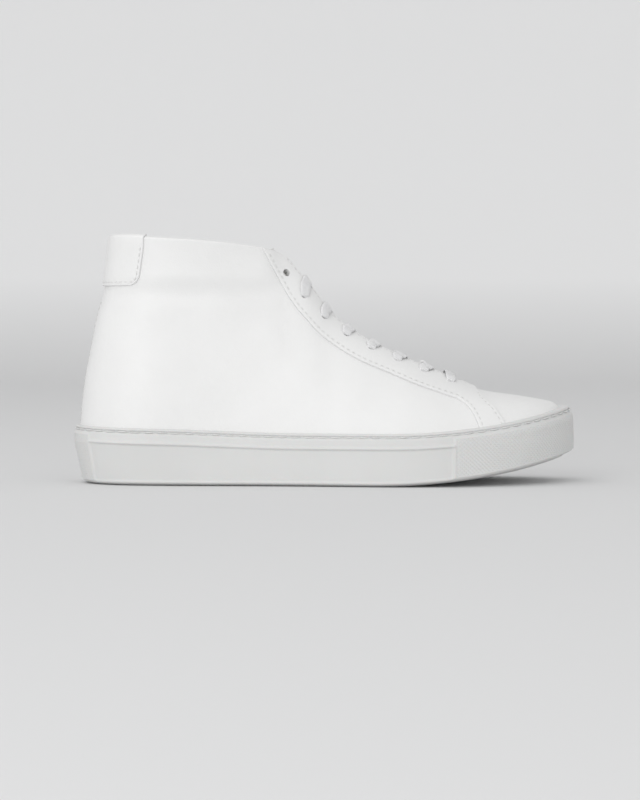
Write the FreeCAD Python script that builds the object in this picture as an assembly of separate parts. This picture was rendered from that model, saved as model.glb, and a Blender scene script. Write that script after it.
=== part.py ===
"""Right-foot leather high top on a stitched rubber cupsole, EU 42, in millimetres.

Frame: +X to the toe, +Y to the medial side, +Z up. The origin is the middle of the footprint,
on the ground. The upper is one smooth skin made of ribs: each rib is a cubic curve that rises
from the lasting margin inside the cup to the topline, or over the instep to the ridge. A place
on the skin is (side, s, t): s is the rib's station from the heel (0) to the toe (18), and t
runs up the rib from 0 to 1. Every leather, foam and lining is a patch of that skin between
two offsets, so the layers lie on each other with known thicknesses.
"""

import FreeCAD
import Part
import math
import os

V = FreeCAD.Vector

# ---------------------------------------------------------------- driving dimensions
LATERAL, MEDIAL = -1, 1
LEATHER = 1.4  # outer leather
OVERLAY = 1.4  # eyestays and heel tab, on top of the outer leather
BACKING = 1.1  # counter, puff, tape and interlining, behind the outer leather
LINING = 0.9
GLUE = 0.06  # clearance between layers
MARGIN_DEPTH = 14.0  # how far the upper reaches down inside the cup
WALL = 3.4  # cup wall beside the upper
MARGIN_INSET = 3.7  # foot of the upper's skin, in from the sole's outline
FOOTBED_INSET = 8.6  # edge of the insole board and footbed
FLOOR = 7.0  # rubber under the foot
TREAD_FLAT_TO = 25.0  # the tread is flat from the heel to this x
TOE_ARC = 446.0  # radius of the toe spring
FOAM = 3.0  # extra thickness of the padded collar
FOAM_EASE = 0.15  # extra clearance on both faces of the collar foam
THROAT_HALF = 11.5  # half the gap between the eyestays
EYELETS = 8
EYELET_R = 2.25
EYELET_BACK = 7.5  # from the throat's edge to the row of eyelets
INTERLINING_TOP, TAPE_LOWEST = 0.5, 0.54  # how far up the ribs these go, and start
TAPE_BACK = 15.0  # from the throat's edge to the far side of the eyelet tape
LACE_D = 2.6
LACE_OVER = 4.2  # lace centre above the skin
LACE_UNDER = -5.15  # lace centre below the skin
BESIDE_TONGUE = -5.4  # the same for the tucked ends, beside the tongue
TONGUE_UNDER = -6.85  # tongue's face beside the eyelets, below the skin
TONGUE_LAYERS = (1.1, 2.4, 0.9)  # leather, foam, lining
LACE_LIFT = 1.9  # the upper strand's height over the straight line between the eyestays
LACE_BEND = 2.8  # longest part of a straight run that the next bend takes
BAR_RISE = V(0.2, 0, 0.6)  # the bar between the lowest eyelets bows up by this
LACE_TURN = 0.6  # the lace turns over or under the eyestay this far in from its edge
STRAND_GAP = 0.3  # between the two strands where they cross
AGLET, AGLET_R = 20.0, 1.4
TAIL = [
    (7.6, 23.5), (8.4, 24.5), (9.1, 25.0), (9.8, 26.5), (10.2, 30.0), (9.8, 33.5),
    (9.1, 34.0), (8.5, 33.5), (7.9, 32.5),
]
TAIL_POINTS = 22
THREAD = 0.6
THREAD_CLEAR = 0.3  # the straight stitches stand this far off a curved face
STITCH, STITCH_GAP = 2.6, 1.1
THROAT_SEAM, FRONT_SEAM = 2.2, 2.6  # seams of the eyestay, in from its edges
LOW_SEAM = (2.0, 1.7)  # the same for its lower edge, in x and z

# Sole outline at its widest, from the heel round the lateral side to the toe and back.
OUTLINE = [
    (-150, -2), (-141.5, -26), (-117, -39.5), (-82, -41), (-45, -42), (-8, -46),
    (28, -51.5), (62, -53), (95, -46.5), (123, -32), (143, -10), (150, 12),
    (144, 33), (122, 47), (90, 53), (55, 51.5), (20, 43.5), (-15, 36),
    (-50, 33), (-85, 34.5), (-118, 34.5), (-141.5, 20),
]

# One row per rib: outline position on the lateral and medial side, lower handle
# (along, out, up), top (x, half width, z) and upper handle (x, out, z).
RIBS = [
    (0.00, 22.00, (0, 2.0, 42), (-129.6, 0.0, 146.0), (-3.4, 0, -46)),
    (1.00, 21.00, (0, 2.0, 42), (-124.5, 18.5, 146.0), (-2.6, -2, -46)),
    (2.00, 20.00, (0, 1.5, 40), (-108.0, 30.0, 145.3), (0, -4, -44)),
    (3.00, 18.93, (0, 0.5, 38), (-84.0, 33.5, 144.0), (0, -5, -42)),
    (3.75, 18.10, (0, 0.0, 37), (-60.0, 32.0, 142.2), (2, -4, -40)),
    (4.30, 17.55, (0, 0.0, 36), (-39.0, 26.0, 139.6), (6, 1, -33)),
    (4.65, 17.17, (0, 0.5, 35), (-27.5, 18.5, 136.0), (5, 7, -24)),
    (4.98, 16.83, (0, 1.0, 34), (-14.5, 10.0, 125.5), (4, 15, -9)),
    (5.30, 16.48, (0, 1.5, 32), (-1.0, 3.0, 109.0), (2, 22, -3)),
    (5.68, 16.12, (0, 2.0, 30), (14.0, 0.0, 94.3), (1, 28, -0.5)),
    (6.15, 15.63, (0, 2.0, 28), (33.0, 0.0, 82.2), (0, 29, 0)),
    (6.72, 15.07, (0, 2.5, 26), (53.0, 0.0, 73.2), (0, 27, 0)),
    (7.32, 14.50, (0, 2.5, 24), (72.0, 0.0, 64.8), (0, 25, 0)),
    (7.88, 13.97, (0, 2.5, 22), (88.0, 0.0, 57.0), (0, 27, 0)),
    (8.38, 13.50, (0, 2.5, 20), (104.0, 0.0, 53.4), (0, 28, 0)),
    (8.85, 13.10, (0, 2.0, 18), (119.0, 0.0, 51.4), (0, 27, 0)),
    (9.28, 12.72, (2, 1.5, 15), (132.0, 0.0, 49.2), (0, 22, 0)),
    (9.62, 12.43, (6, 1.0, 9), (141.0, 0.0, 45.0), (0, 15, -1)),
    (9.90, 12.18, (11, 0.0, 1), (146.4, 0.0, 32.5), (0, 9, 0)),
]
LAST = len(RIBS) - 1

# Seen from the side: the eyestay's lower edge and its front edge, down to the sole.
EYESTAY_LOWER = [
    (-38.5, 142), (-28.5, 122.8), (-19.4, 107.5), (-11.3, 97.8), (-1.4, 87.5), (12.9, 77.4),
    (26.3, 70.6), (39.8, 65.0), (53.3, 59.5), (66.7, 54.8), (77.5, 51.2), (84, 46), (88.5, 38),
    (92, 28), (94, 12),
]
EYESTAY_FRONT = [(86.5, 64), (88.5, 58), (93.3, 50.7), (98.5, 46), (103, 40), (106, 33), (108, 12)]
HEEL_TAB_EDGE, HEEL_TAB_LOW, HEEL_TAB_CORNER = (-105.5, -109.5), 117.5, 6.0
HEEL_TAB_SEAM = [(-107.4, 141), (-111, 126.3), (-116, 119.3), (-131, 119.3)]


# ---------------------------------------------------------------- curves
def spline(values):
    """Function of s, from 0 to len(values) - 1, through evenly spaced values: a natural cubic."""
    n = len(values)
    bend, ratio = [0.0] * n, [0.0] * n
    for i in range(1, n - 1):
        pivot = 4.0 - ratio[i - 1]
        ratio[i] = 1.0 / pivot
        rhs = 6.0 * (values[i + 1] - 2.0 * values[i] + values[i - 1])
        bend[i] = (rhs - bend[i - 1]) / pivot
    for i in range(n - 2, 0, -1):
        bend[i] -= ratio[i] * bend[i + 1]

    def at(s):
        i = min(max(int(math.floor(s)), 0), n - 2)
        f = s - i
        g = 1.0 - f
        straight = g * values[i] + f * values[i + 1]
        return straight + ((g**3 - g) * bend[i] + (f**3 - f) * bend[i + 1]) / 6.0

    return at


def spline_of(rows):
    """Function of s that gives a list, through rows of numbers."""
    parts = [spline([row[i] for row in rows]) for i in range(len(rows[0]))]
    return lambda s: [p(s) for p in parts]


def smooth(x):
    x = min(max(x, 0.0), 1.0)
    return x * x * (3.0 - 2.0 * x)


WRAP = 4
_outline = spline_of([OUTLINE[i % len(OUTLINE)] for i in range(-WRAP, len(OUTLINE) + WRAP)])


def outline(k, inset=0.0):
    """Point of the sole's outline at position k (0 to 22), moved inwards by inset."""
    x, y = _outline(k + WRAP)
    x0, y0 = _outline(k + WRAP - 0.01)
    x1, y1 = _outline(k + WRAP + 0.01)
    dx, dy = x1 - x0, y1 - y0
    size = math.hypot(dx, dy)
    return x - inset * dy / size, y + inset * dx / size


def centre_y(x):
    """Middle of the upper: a little lateral at the heel, and medial at the toe."""
    return 12.0 * smooth((x - 40.0) / 108.0) - 2.0 * smooth((-40.0 - x) / 70.0)


def lip_z(x):
    """Top of the cup's wall."""
    return 32.2 + 0.0011 * max(0.0, x - 35.0) ** 2 + 2.3 * (max(0.0, -x - 20.0) / 130.0) ** 2


def tread_z(x):
    """Underside of the sole."""
    return max(0.0, x - TREAD_FLAT_TO) ** 2 / (2.0 * TOE_ARC)


# ---------------------------------------------------------------- the skin of the upper
_rib = spline_of([(a, b, *h, *top, *u) for a, b, h, top, u in RIBS])


def skin(side, s, t):
    """Point of the upper's outer skin."""
    k_lat, k_med, along, out, up, tx, tw, tz, ux, uw, uz = _rib(s)
    k = k_lat if side == LATERAL else k_med
    fx, fy = outline(k, MARGIN_INSET)
    ox, oy = outline(k, MARGIN_INSET - 1.0)
    nx, ny = ox - fx, oy - fy
    ax, ay = ny * side, -nx * side
    foot = V(fx, fy, lip_z(fx) - MARGIN_DEPTH)
    low = foot + V(along * ax + out * nx, along * ay + out * ny, up)
    top = V(tx, centre_y(tx) + side * tw, tz)
    high = top + V(ux, side * uw, uz)
    r = 1.0 - t
    return foot * r**3 + low * (3 * r * r * t) + high * (3 * r * t * t) + top * t**3


def normal(side, s, t):
    """Outward normal of the skin."""
    s = min(max(s, 0.02), LAST - 0.06)
    t = min(max(t, 0.02), 0.995)
    ds = skin(side, s + 0.01, t) - skin(side, s - 0.01, t)
    dt = skin(side, s, t + 0.004) - skin(side, s, t - 0.004)
    n = ds.cross(dt) * (-side)
    if s < 0.05:
        n.y = 0.0
    if t > 0.99 and s > 9.0:
        n.y = 0.0
    n.normalize()
    return n


def at(side, s, t, offset=0.0):
    return skin(side, s, t) + normal(side, s, t) * offset


def half_width(side, s, t):
    p = skin(side, s, t)
    return side * (p.y - centre_y(p.x))


def t_at_width(side, s, width):
    """How far up rib s the skin is this far from the middle plane; 1 if it never comes nearer."""
    if half_width(side, s, 1.0) >= width:
        return 1.0
    low, high = 0.4, 1.0
    for _ in range(30):
        mid = (low + high) / 2.0
        if half_width(side, s, mid) > width:
            low = mid
        else:
            high = mid
    return low


def t_at_z(side, s, z):
    low, high = 0.0, 1.0
    for _ in range(30):
        mid = (low + high) / 2.0
        if skin(side, s, mid).z < z:
            low = mid
        else:
            high = mid
    return low


def throat_half(s):
    return THROAT_HALF + 3.5 * smooth((8.5 - s) / 2.5)


def throat_t(side, s, back=0.0):
    """The throat's edge on rib s, or a line that far back from it; 1 behind the throat."""
    if s < 5.5:
        return 1.0
    return t_at_width(side, s, throat_half(s) + back)


def seen_at(side, x, z, offset, guess):
    """(s, t) of the skin's place that is seen at x, z from the side."""
    s, t = guess
    for _ in range(12):
        p = at(side, s, t, offset)
        a, b = p.x - x, p.z - z
        if abs(a) + abs(b) < 1e-4:
            break
        ps = at(side, s + 0.01, t, offset)
        pt = at(side, s, t + 0.002, offset)
        j11, j21 = (ps.x - p.x) / 0.01, (ps.z - p.z) / 0.01
        j12, j22 = (pt.x - p.x) / 0.002, (pt.z - p.z) / 0.002
        det = j11 * j22 - j12 * j21
        s -= min(max((a * j22 - b * j12) / det, -0.8), 0.8)
        t -= min(max((b * j11 - a * j21) / det, -0.1), 0.1)
        s, t = min(max(s, 0.0), LAST), min(max(t, 0.02), 0.999)
    return s, t


# ---------------------------------------------------------------- solids
def surface(grid):
    s = Part.BSplineSurface()
    s.interpolate(grid)
    return s


SAME_WAY = 1  # the two edges of a ruled face run the same way


def borders(surf):
    """The four border edges of a surface."""
    u0, u1, v0, v1 = surf.bounds()
    return [c.toShape() for c in (surf.uIso(u0), surf.uIso(u1), surf.vIso(v0), surf.vIso(v1))]


def solid_between(outer, inner):
    """Closed solid between two grids of points with the same rows and columns."""
    a, b = surface(outer), surface(inner)
    faces = [a.toShape(), b.toShape()]
    for edge_a, edge_b in zip(borders(a), borders(b)):
        faces.append(Part.makeRuledSurface(edge_a, edge_b, SAME_WAY))
    shell = Part.Shell(faces)
    shell.sewShape()
    solid = Part.Solid(shell if shell.ShapeType == "Shell" else shell.Shells[0])
    if solid.Volume < 0:
        solid.reverse()
    return solid


def grid_of(place, us, vs, offset):
    return [[place(u, v, offset(u, v)) for v in vs] for u in us]


def steps(a, b, n):
    return [a + (b - a) * i / (n - 1.0) for i in range(n)]


def patch(place, us, vs, outer, inner):
    """Solid patch of the skin between two offsets, each a number or a function of u and v."""
    def fixed(value):
        return value if callable(value) else (lambda u, v: value)
    return solid_between(grid_of(place, us, vs, fixed(outer)), grid_of(place, us, vs, fixed(inner)))


def side_place(side, top, bottom=lambda s: 0.0):
    """Places of a patch on one side: v runs from bottom(s) to top(s)."""
    def place(s, v, offset):
        t = bottom(s) + (top(s) - bottom(s)) * v
        return at(side, s, t, offset)
    return place


def heel_place(top, bottom=lambda s: 0.0):
    """Places of a patch that wraps the heel: negative stations are medial."""
    def place(s, v, offset):
        side = LATERAL if s >= 0 else MEDIAL
        a = abs(s)
        t = bottom(a) + (top(a) - bottom(a)) * v
        return at(side, a, t, offset)
    return place


def over_place(start):
    """Places of a patch over the forefoot: v from 0 to 2 runs over the ridge, s from start(v)."""
    def place(u, v, offset):
        side, t = (LATERAL, v) if v <= 1.0 else (MEDIAL, 2.0 - v)
        s = start(t) + (LAST - start(t)) * u
        return at(side, s, t, offset)
    return place


def side_prism(wire_edges, y0, y1):
    """Solid with this outline seen from the side, from y0 to y1."""
    face = Part.Face(Part.Wire(wire_edges))
    face.translate(V(0, y0, 0))
    return face.extrude(V(0, y1 - y0, 0))


def curve_xz(points):
    c = Part.BSplineCurve()
    c.interpolate([V(x, 0, z) for x, z in points])
    return c.toShape()


def lines_xz(points):
    return [Part.makeLine(V(a[0], 0, a[1]), V(b[0], 0, b[1])) for a, b in zip(points, points[1:])]


def outline_wire(inset, z):
    c = Part.BSplineCurve()
    n = 4 * len(OUTLINE)
    c.interpolate([V(*outline(i / 4.0, inset), z) for i in range(n)], PeriodicFlag=True)
    return Part.Wire(c.toShape())


REACH = 175.0


def level_band(low, high):
    """Everything between two heights that are functions of x."""
    def edge(f):
        if f is tread_z:
            mid = (TREAD_FLAT_TO + REACH) / 2.0
            arc = Part.Arc(*[V(x, 0, f(x)) for x in (TREAD_FLAT_TO, mid, REACH)]).toShape()
            return [Part.makeLine(V(-REACH, 0, 0), V(TREAD_FLAT_TO, 0, 0)), arc]
        xs = steps(-REACH, REACH, 22)
        return [curve_xz([(x, f(x)) for x in xs])]
    ends = [
        Part.makeLine(V(REACH, 0, low(REACH)), V(REACH, 0, high(REACH))),
        Part.makeLine(V(-REACH, 0, low(-REACH)), V(-REACH, 0, high(-REACH))),
    ]
    return side_prism(Part.__sortEdges__(edge(low) + edge(high) + ends), -80, 80)


def column(inset, z0=-5.0, z1=75.0):
    return Part.Face(outline_wire(inset, z0)).extrude(V(0, 0, z1 - z0))


def slab(inset, low, high):
    return column(inset).common(level_band(low, high))


def ring(outer, inner, low, high):
    return column(outer).cut(column(inner)).common(level_band(low, high))


# ---------------------------------------------------------------- sole unit
GROOVE_TOP, GROOVE_HEIGHT, GROOVE_DEPTH = 2.3, 1.7, 1.2
HEEL_TAPER, TAPER_FROM, TAPER_RUN = 5.5, -60.0, 80.0  # how far the heel draws in, and over which x
CUP_LEVELS = ((-1.0, 1.0, 0.4), (25.0, 0.06, 0.0), (52.0, 0.0, 0.9))  # height, share of taper, inset
ABOVE_CUP = 70.0  # a height clear of the whole cup
MARGIN_STEP = 0.4  # the room beside the upper's margin is this much wider than the insert's pocket


def insert_top(x):
    return lip_z(x) - MARGIN_DEPTH - GLUE


def drawn_in(inset):
    """Column inside the outline that draws in towards the ground under the heel, as the wall does."""
    def taper(k):
        return HEEL_TAPER * smooth((TAPER_FROM - outline(k)[0]) / TAPER_RUN)
    n = 4 * len(OUTLINE)
    wires = []
    for z, share, extra in CUP_LEVELS:
        c = Part.BSplineCurve()
        pts = [V(*outline(i / 4.0, inset + share * taper(i / 4.0) + extra), z) for i in range(n)]
        c.interpolate(pts, PeriodicFlag=True)
        wires.append(Part.Wire(c.toShape()))
    return Part.makeLoft(wires, True)


def cupsole():
    """Rubber cup with a stitch groove, and a pocket for the insert below the upper's margin."""
    body = drawn_in(0.0).common(level_band(tread_z, lip_z))
    pocket = drawn_in(WALL - GLUE).common(level_band(lambda x: tread_z(x) + FLOOR, insert_top))
    room = column(WALL - GLUE - MARGIN_STEP)
    margin_room = room.common(level_band(insert_top, lambda x: ABOVE_CUP))
    groove = ring(
        -4.0, GROOVE_DEPTH + 0.6,
        lambda x: lip_z(x) - GROOVE_TOP - GROOVE_HEIGHT, lambda x: lip_z(x) - GROOVE_TOP,
    )
    return body.cut(pocket).cut(margin_room).cut(groove)


def sole_parts():
    groove = []
    for i in range(8 * len(OUTLINE) + 1):
        x, y = outline(i / 8.0, GROOVE_DEPTH)
        groove.append(V(x, y, lip_z(x) - GROOVE_TOP - GROOVE_HEIGHT / 2.0))
    return {
        "cupsole": cupsole(),
        "stitching_sole": Part.makeCompound(stitches(groove)),
        "midsole_insert": drawn_in(WALL + GLUE).common(
            level_band(lambda x: tread_z(x) + FLOOR + GLUE, insert_top)
        ),
        "insole_board": slab(FOOTBED_INSET, lambda x: insert_top(x) + GLUE, lambda x: insert_top(x) + 1.7),
        "footbed_foam": slab(FOOTBED_INSET, lambda x: insert_top(x) + 1.8, lambda x: insert_top(x) + 4.6),
        "footbed_cover": slab(FOOTBED_INSET, lambda x: insert_top(x) + 4.65, lambda x: insert_top(x) + 5.5),
    }


# ---------------------------------------------------------------- layers of the upper
OUT_IN = -LEATHER
BACK_OUT, BACK_IN = OUT_IN - GLUE, OUT_IN - GLUE - BACKING
LIN_OUT = BACK_IN - GLUE
LIN_IN = LIN_OUT - LINING


def seam_s(t):
    """Where the quarters end and the toe vamp begins, under the eyestays' front."""
    return 13.15 - 0.5 * t


def padding(s, t):
    """Extra thickness of the collar at a place."""
    return FOAM * smooth((t - 0.72) / 0.14) * smooth((5.9 - abs(s)) / 1.3)


def quarter(side):
    def place(u, v, offset):
        start, end = 0.02, seam_s(v) - 0.03
        s = start + (end - start) * u
        return at(side, s, throat_t(side, s) * v, offset)
    return patch(place, steps(0.0, 1.0, 52), steps(0.0, 1.0, 17), 0.0, OUT_IN)


def toe_vamp():
    place = over_place(lambda t: seam_s(t) + 0.03)
    vs = [v * v * (3 - 2 * v) for v in steps(0.0, 1.0, 12)]
    vs = vs + [2.0 - v for v in reversed(vs[:-1])]
    return patch(place, steps(0.0, 1.0, 22), vs, 0.0, OUT_IN)


def eyestay(side):
    """Facing that carries the eyelets and turns down in front to the cup's lip, over both leathers."""
    shell = eyestay_shell(side)
    lower, front = curve_xz(EYESTAY_LOWER), curve_xz(EYESTAY_FRONT)
    a, b = EYESTAY_LOWER[-1], EYESTAY_FRONT[-1]
    c, d = EYESTAY_FRONT[0], EYESTAY_LOWER[0]
    rim = lines_xz([a, b]) + lines_xz([c, (86.5, 75), (60, 100), (0, 160), (-38.5, 160), d])
    prism = side_prism(Part.__sortEdges__([lower, front] + rim), 0.12 * side, 80.0 * side)
    above_lip = level_band(lambda x: lip_z(x) + GLUE, lambda x: 165.0)
    return shell.common(prism).common(above_lip)


def eyestay_shell(side):
    """Sheet that the eyestay is cut from: it ends at the throat's edge, and in front at the middle."""
    def place(s, v, offset):
        closed = smooth((s - 12.35) / 0.5)
        top = throat_t(side, s)
        top = top + (0.9995 - top) * closed
        return at(side, s, top * v, offset)
    return patch(place, steps(4.6, 14.8, 52), steps(0.0, 1.0, 18), GLUE + OVERLAY, GLUE)


def heel_tab():
    """Patch round the back of the collar, with rounded lower corners."""
    shell = patch(heel_place(lambda s: 0.999, lambda s: 0.70), steps(-2.6, 2.6, 25),
                  steps(0.0, 1.0, 8), GLUE + OVERLAY, GLUE)
    (top_x, low_x), low, r = HEEL_TAB_EDGE, HEEL_TAB_LOW, HEEL_TAB_CORNER
    corner = Part.Arc(
        V(low_x - r, 0, low), V(low_x - 0.29 * r, 0, low + 0.29 * r), V(low_x + 0.6, 0, low + r)
    ).toShape()
    rim = lines_xz([(low_x - r, low), (-160, low), (-160, 160), (top_x, 160), (low_x + 0.6, low + r)])
    return shell.common(side_prism(Part.__sortEdges__([corner] + rim), -60, 60))


def backing_parts():
    """Stiffeners, tape, foam and interlining between the leather and the lining."""
    def foam_inner(s, v):
        return BACK_IN + FOAM_EASE - padding(s, 0.72 + 0.275 * v)
    parts = {
        "heel_counter": patch(heel_place(lambda s: 0.50), steps(-3.6, 3.6, 33), steps(0, 1, 10),
                              BACK_OUT, BACK_IN),
        "toe_puff": patch(over_place(lambda t: 14.9), steps(0.0, 1.0, 14), steps(0.0, 2.0, 21),
                          BACK_OUT, BACK_IN),
        "collar_foam": patch(heel_place(lambda s: 0.995, lambda s: 0.72), steps(-5.5, 5.5, 45),
                             steps(0, 1, 9), BACK_OUT - FOAM_EASE, foam_inner),
    }
    for side, word in ((LATERAL, "lateral"), (MEDIAL, "medial")):
        def tape_low(s):
            return max(throat_t(side, s, TAPE_BACK), TAPE_LOWEST)
        tape = side_place(side, lambda s: throat_t(side, s, 1.0), tape_low)
        parts["eyelet_tape_" + word] = patch(tape, steps(5.75, 12.3, 30), steps(0, 1, 6), BACK_OUT, BACK_IN)
        parts["interlining_" + word] = patch(
            side_place(side, lambda s: INTERLINING_TOP), steps(3.72, 12.4, 44), steps(0, 1, 8),
            BACK_OUT, BACK_IN + FOAM_EASE,
        )
    return parts


def lining_parts():
    def quarter_place(s, v, offset):
        side = LATERAL if s >= 0 else MEDIAL
        a = abs(s)
        return at(side, a, throat_t(side, a) * v, offset - padding(a, throat_t(side, a) * v))
    us = steps(-12.5, 12.5, 91)
    vamp = over_place(lambda t: 12.6)
    return {
        "quarter_lining": patch(quarter_place, us, steps(0.0, 1.0, 17), LIN_OUT, LIN_IN),
        "vamp_lining": patch(vamp, steps(0.0, 1.0, 22), steps(0.0, 2.0, 27), LIN_OUT, LIN_IN),
    }


# ---------------------------------------------------------------- tongue
TONGUE_LINE = [
    (98, 46.5), (86, 49.8), (69.8, 58.3), (50.7, 66.8), (30.3, 75.9), (10.8, 88.0), (-4.8, 102.9),
    (-16.5, 117.2), (-24.3, 129.0), (-29.4, 140.5),
]
TONGUE_HALF = 28.0
CROWN_HALF = 12.0  # inside this half width the tongue arches over the instep


def under_eyestay(side, origin, along, guess, measure):
    """(s, t) of the tongue's face in the plane across its line, where measure(point) is zero."""
    s, t = guess

    def error(s, t):
        p = at(side, s, t, TONGUE_UNDER)
        return measure(p), (p - origin).dot(along)

    for _ in range(12):
        a, b = error(s, t)
        if abs(a) + abs(b) < 1e-4:
            break
        a1, b1 = error(s + 0.01, t)
        a2, b2 = error(s, t + 0.002)
        j11, j21 = (a1 - a) / 0.01, (b1 - b) / 0.01
        j12, j22 = (a2 - a) / 0.002, (b2 - b) / 0.002
        det = j11 * j22 - j12 * j21
        s -= min(max((a * j22 - b * j12) / det, -0.4), 0.4)
        t -= min(max((b * j11 - a * j21) / det, -0.06), 0.06)
    return s, t


def tongue_half(side, crown, along, start, reach, across=8):
    """Points of the tongue's face on one side, from its arch outwards, and the first one's (s, t)."""
    def off_arch(p):
        return side * (p.y - centre_y(p.x)) - CROWN_HALF
    first = under_eyestay(side, crown, along, start, off_arch)
    places = [(first[0], first[1] + 0.02), first]
    points = [at(side, first[0], first[1], TONGUE_UNDER)]
    step = (reach - CROWN_HALF) / (across - 1.0)
    for _ in range(across - 1):
        (s0, t0), (s1, t1) = places[-2:]
        last = points[-1]
        found = under_eyestay(side, crown, along, (2 * s1 - s0, 2 * t1 - t0),
                              lambda p: last.distanceToPoint(p) - step)
        places.append(found)
        points.append(at(side, found[0], found[1], TONGUE_UNDER))
    return points, first


def tongue_rows(rows=27):
    """Rows of points across the tongue's outer face: lateral edge, crown, medial edge."""
    line = spline_of(TONGUE_LINE)
    starts = {LATERAL: (13.4, 0.82), MEDIAL: (13.4, 0.82)}
    grid = []
    for q in steps(0.0, len(TONGUE_LINE) - 1.0, rows):
        x, z = line(q)
        ahead, behind = line(q + 0.02), line(q - 0.02)
        along = V(ahead[0] - behind[0], 0, ahead[1] - behind[1])
        along.normalize()
        out = V(along.z, 0, -along.x)
        crown = V(x, centre_y(x), z)
        reach = TONGUE_HALF * (0.68 + 0.32 * smooth(q / 4.0))
        sides = {}
        for side in (LATERAL, MEDIAL):
            points, starts[side] = tongue_half(side, crown, along, starts[side], reach)
            fall = (crown - points[0]).dot(out)
            arch = []
            for share in (0.33, 0.67):
                arch.append(crown + V(0, side * CROWN_HALF * share, 0) - out * (fall * share**2))
            sides[side] = arch + points
        grid.append(list(reversed(sides[LATERAL])) + [crown] + sides[MEDIAL])
    return grid


def sunk(grid, depth):
    """The grid moved inwards by depth, along its own normals."""
    rows, columns = len(grid), len(grid[0])
    result = []
    for i in range(rows):
        row = []
        for j in range(columns):
            du = grid[min(i + 1, rows - 1)][j] - grid[max(i - 1, 0)][j]
            dv = grid[i][min(j + 1, columns - 1)] - grid[i][max(j - 1, 0)]
            n = du.cross(dv)
            n.normalize()
            if n.z < 0:
                n = n * -1.0
            row.append(grid[i][j] - n * depth)
        result.append(row)
    return result


def tongue_parts():
    skin_t, foam_t, lin_t = TONGUE_LAYERS
    depths = [0.0, skin_t, skin_t + GLUE, skin_t + GLUE + foam_t, skin_t + 2 * GLUE + foam_t]
    depths.append(depths[-1] + lin_t)
    names = ("tongue_leather", "tongue_foam", "tongue_lining")
    face = tongue_rows()
    return {
        name: solid_between(sunk(face, depths[2 * i]), sunk(face, depths[2 * i + 1]))
        for i, name in enumerate(names)
    }


# ---------------------------------------------------------------- eyelets and lace
def eyelet_places(side):
    """(s, t) of the eyelets, evenly spaced along the facing, from the top one down."""
    stations = steps(6.2, 12.1, 80)
    row = [(s, throat_t(side, s, EYELET_BACK - 2.0 * smooth(7.2 - s))) for s in stations]
    points = [at(side, s, t) for s, t in row]
    along = [0.0]
    for a, b in zip(points, points[1:]):
        along.append(along[-1] + a.distanceToPoint(b))
    found = []
    for want in steps(0.0, along[-1], EYELETS):
        i = min(range(len(along)), key=lambda j: abs(along[j] - want))
        found.append(row[i])
    return found


PUNCH_UNDER, PUNCH_OVER = -7.0, 5.0  # the punches' ends, from the skin


def eyelet_punches(side):
    tools = []
    for s, t in eyelet_places(side):
        n = normal(side, s, t)
        tools.append(Part.makeCylinder(EYELET_R, PUNCH_OVER - PUNCH_UNDER, at(side, s, t, PUNCH_UNDER), n))
    return tools


def tube(points, radius):
    """Round tube along straight runs joined by tangent arcs."""
    runs, start = [], points[0]
    for before, corner, after in zip(points, points[1:], points[2:]):
        a, b = before - corner, after - corner
        half = (math.pi - a.getAngle(b)) / 2.0
        cut = min(0.45 * min(a.Length, b.Length), LACE_BEND)
        r = cut / math.tan(half)
        a.normalize()
        b.normalize()
        first, last = corner + a * cut, corner + b * cut
        axis = a.cross(b)
        axis.normalize()
        middle = (a + b)
        middle.normalize()
        centre = corner + middle * (r / math.cos(half))
        runs.append(("line", start, first))
        runs.append(("arc", centre, axis * -1.0, math.degrees(2.0 * half)))
        start = last
    runs.append(("line", start, points[-1]))
    ring_edge = Part.makeCircle(radius, points[0], points[1] - points[0])
    faces = [Part.Face(Part.Wire(ring_edge))]
    for run in runs:
        if run[0] == "line":
            step = run[2] - run[1]
            faces.append(ring_edge.extrude(step))
            ring_edge = ring_edge.translated(step)
        else:
            faces.append(ring_edge.revolve(run[1], run[2], run[3]))
            ring_edge = ring_edge.rotated(run[1], run[2], run[3])
    faces.append(Part.Face(Part.Wire(ring_edge)))
    shell = Part.Shell(faces)
    shell.sewShape()
    solid = Part.Solid(shell)
    if solid.Volume < 0:
        solid.reverse()
    return solid


def crossing(side, start, end):
    """Lace between two stations: under one eyestay's edge, over the tongue, over the other's edge."""
    share = EYELET_BACK / (2.0 * (EYELET_BACK + THROAT_HALF))
    near, far = start + (end - start) * share, end + (start - end) * share
    edge_a = at(side, near, throat_t(side, near, LACE_TURN), LACE_UNDER)
    edge_b = at(-side, far, throat_t(-side, far, LACE_TURN), LACE_OVER)
    out = normal(side, near, throat_t(side, near)) + normal(-side, far, throat_t(-side, far))
    out.normalize()
    lift = LACE_LIFT if side == LATERAL else LACE_LIFT - LACE_D - STRAND_GAP
    return [edge_a, (edge_a + edge_b) * 0.5 + out * lift, edge_b]


def lace_half(side):
    """Lace from the end of the bar on this side: into each eyelet from above, then to the other side."""
    rows = {LATERAL: eyelet_places(LATERAL), MEDIAL: eyelet_places(MEDIAL)}
    first = rows[side][-1][0]
    points = [at(side, first, throat_t(side, first, LACE_TURN), LACE_OVER)]
    for i in range(EYELETS - 1, 0, -1):
        s, t = rows[side][i]
        points += [at(side, s, t, LACE_OVER), at(side, s, t, LACE_UNDER)]
        if i > 1:
            points += crossing(side, s, rows[-side][i - 1][0])
            side = -side
    tail = spline_of(TAIL)
    for s, width in [tail(q) for q in steps(0.0, len(TAIL) - 1.0, TAIL_POINTS)]:
        deep = LACE_UNDER if width < TONGUE_HALF else BESIDE_TONGUE
        points.append(at(side, s, t_at_width(side, s, width), deep))
    return points


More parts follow.
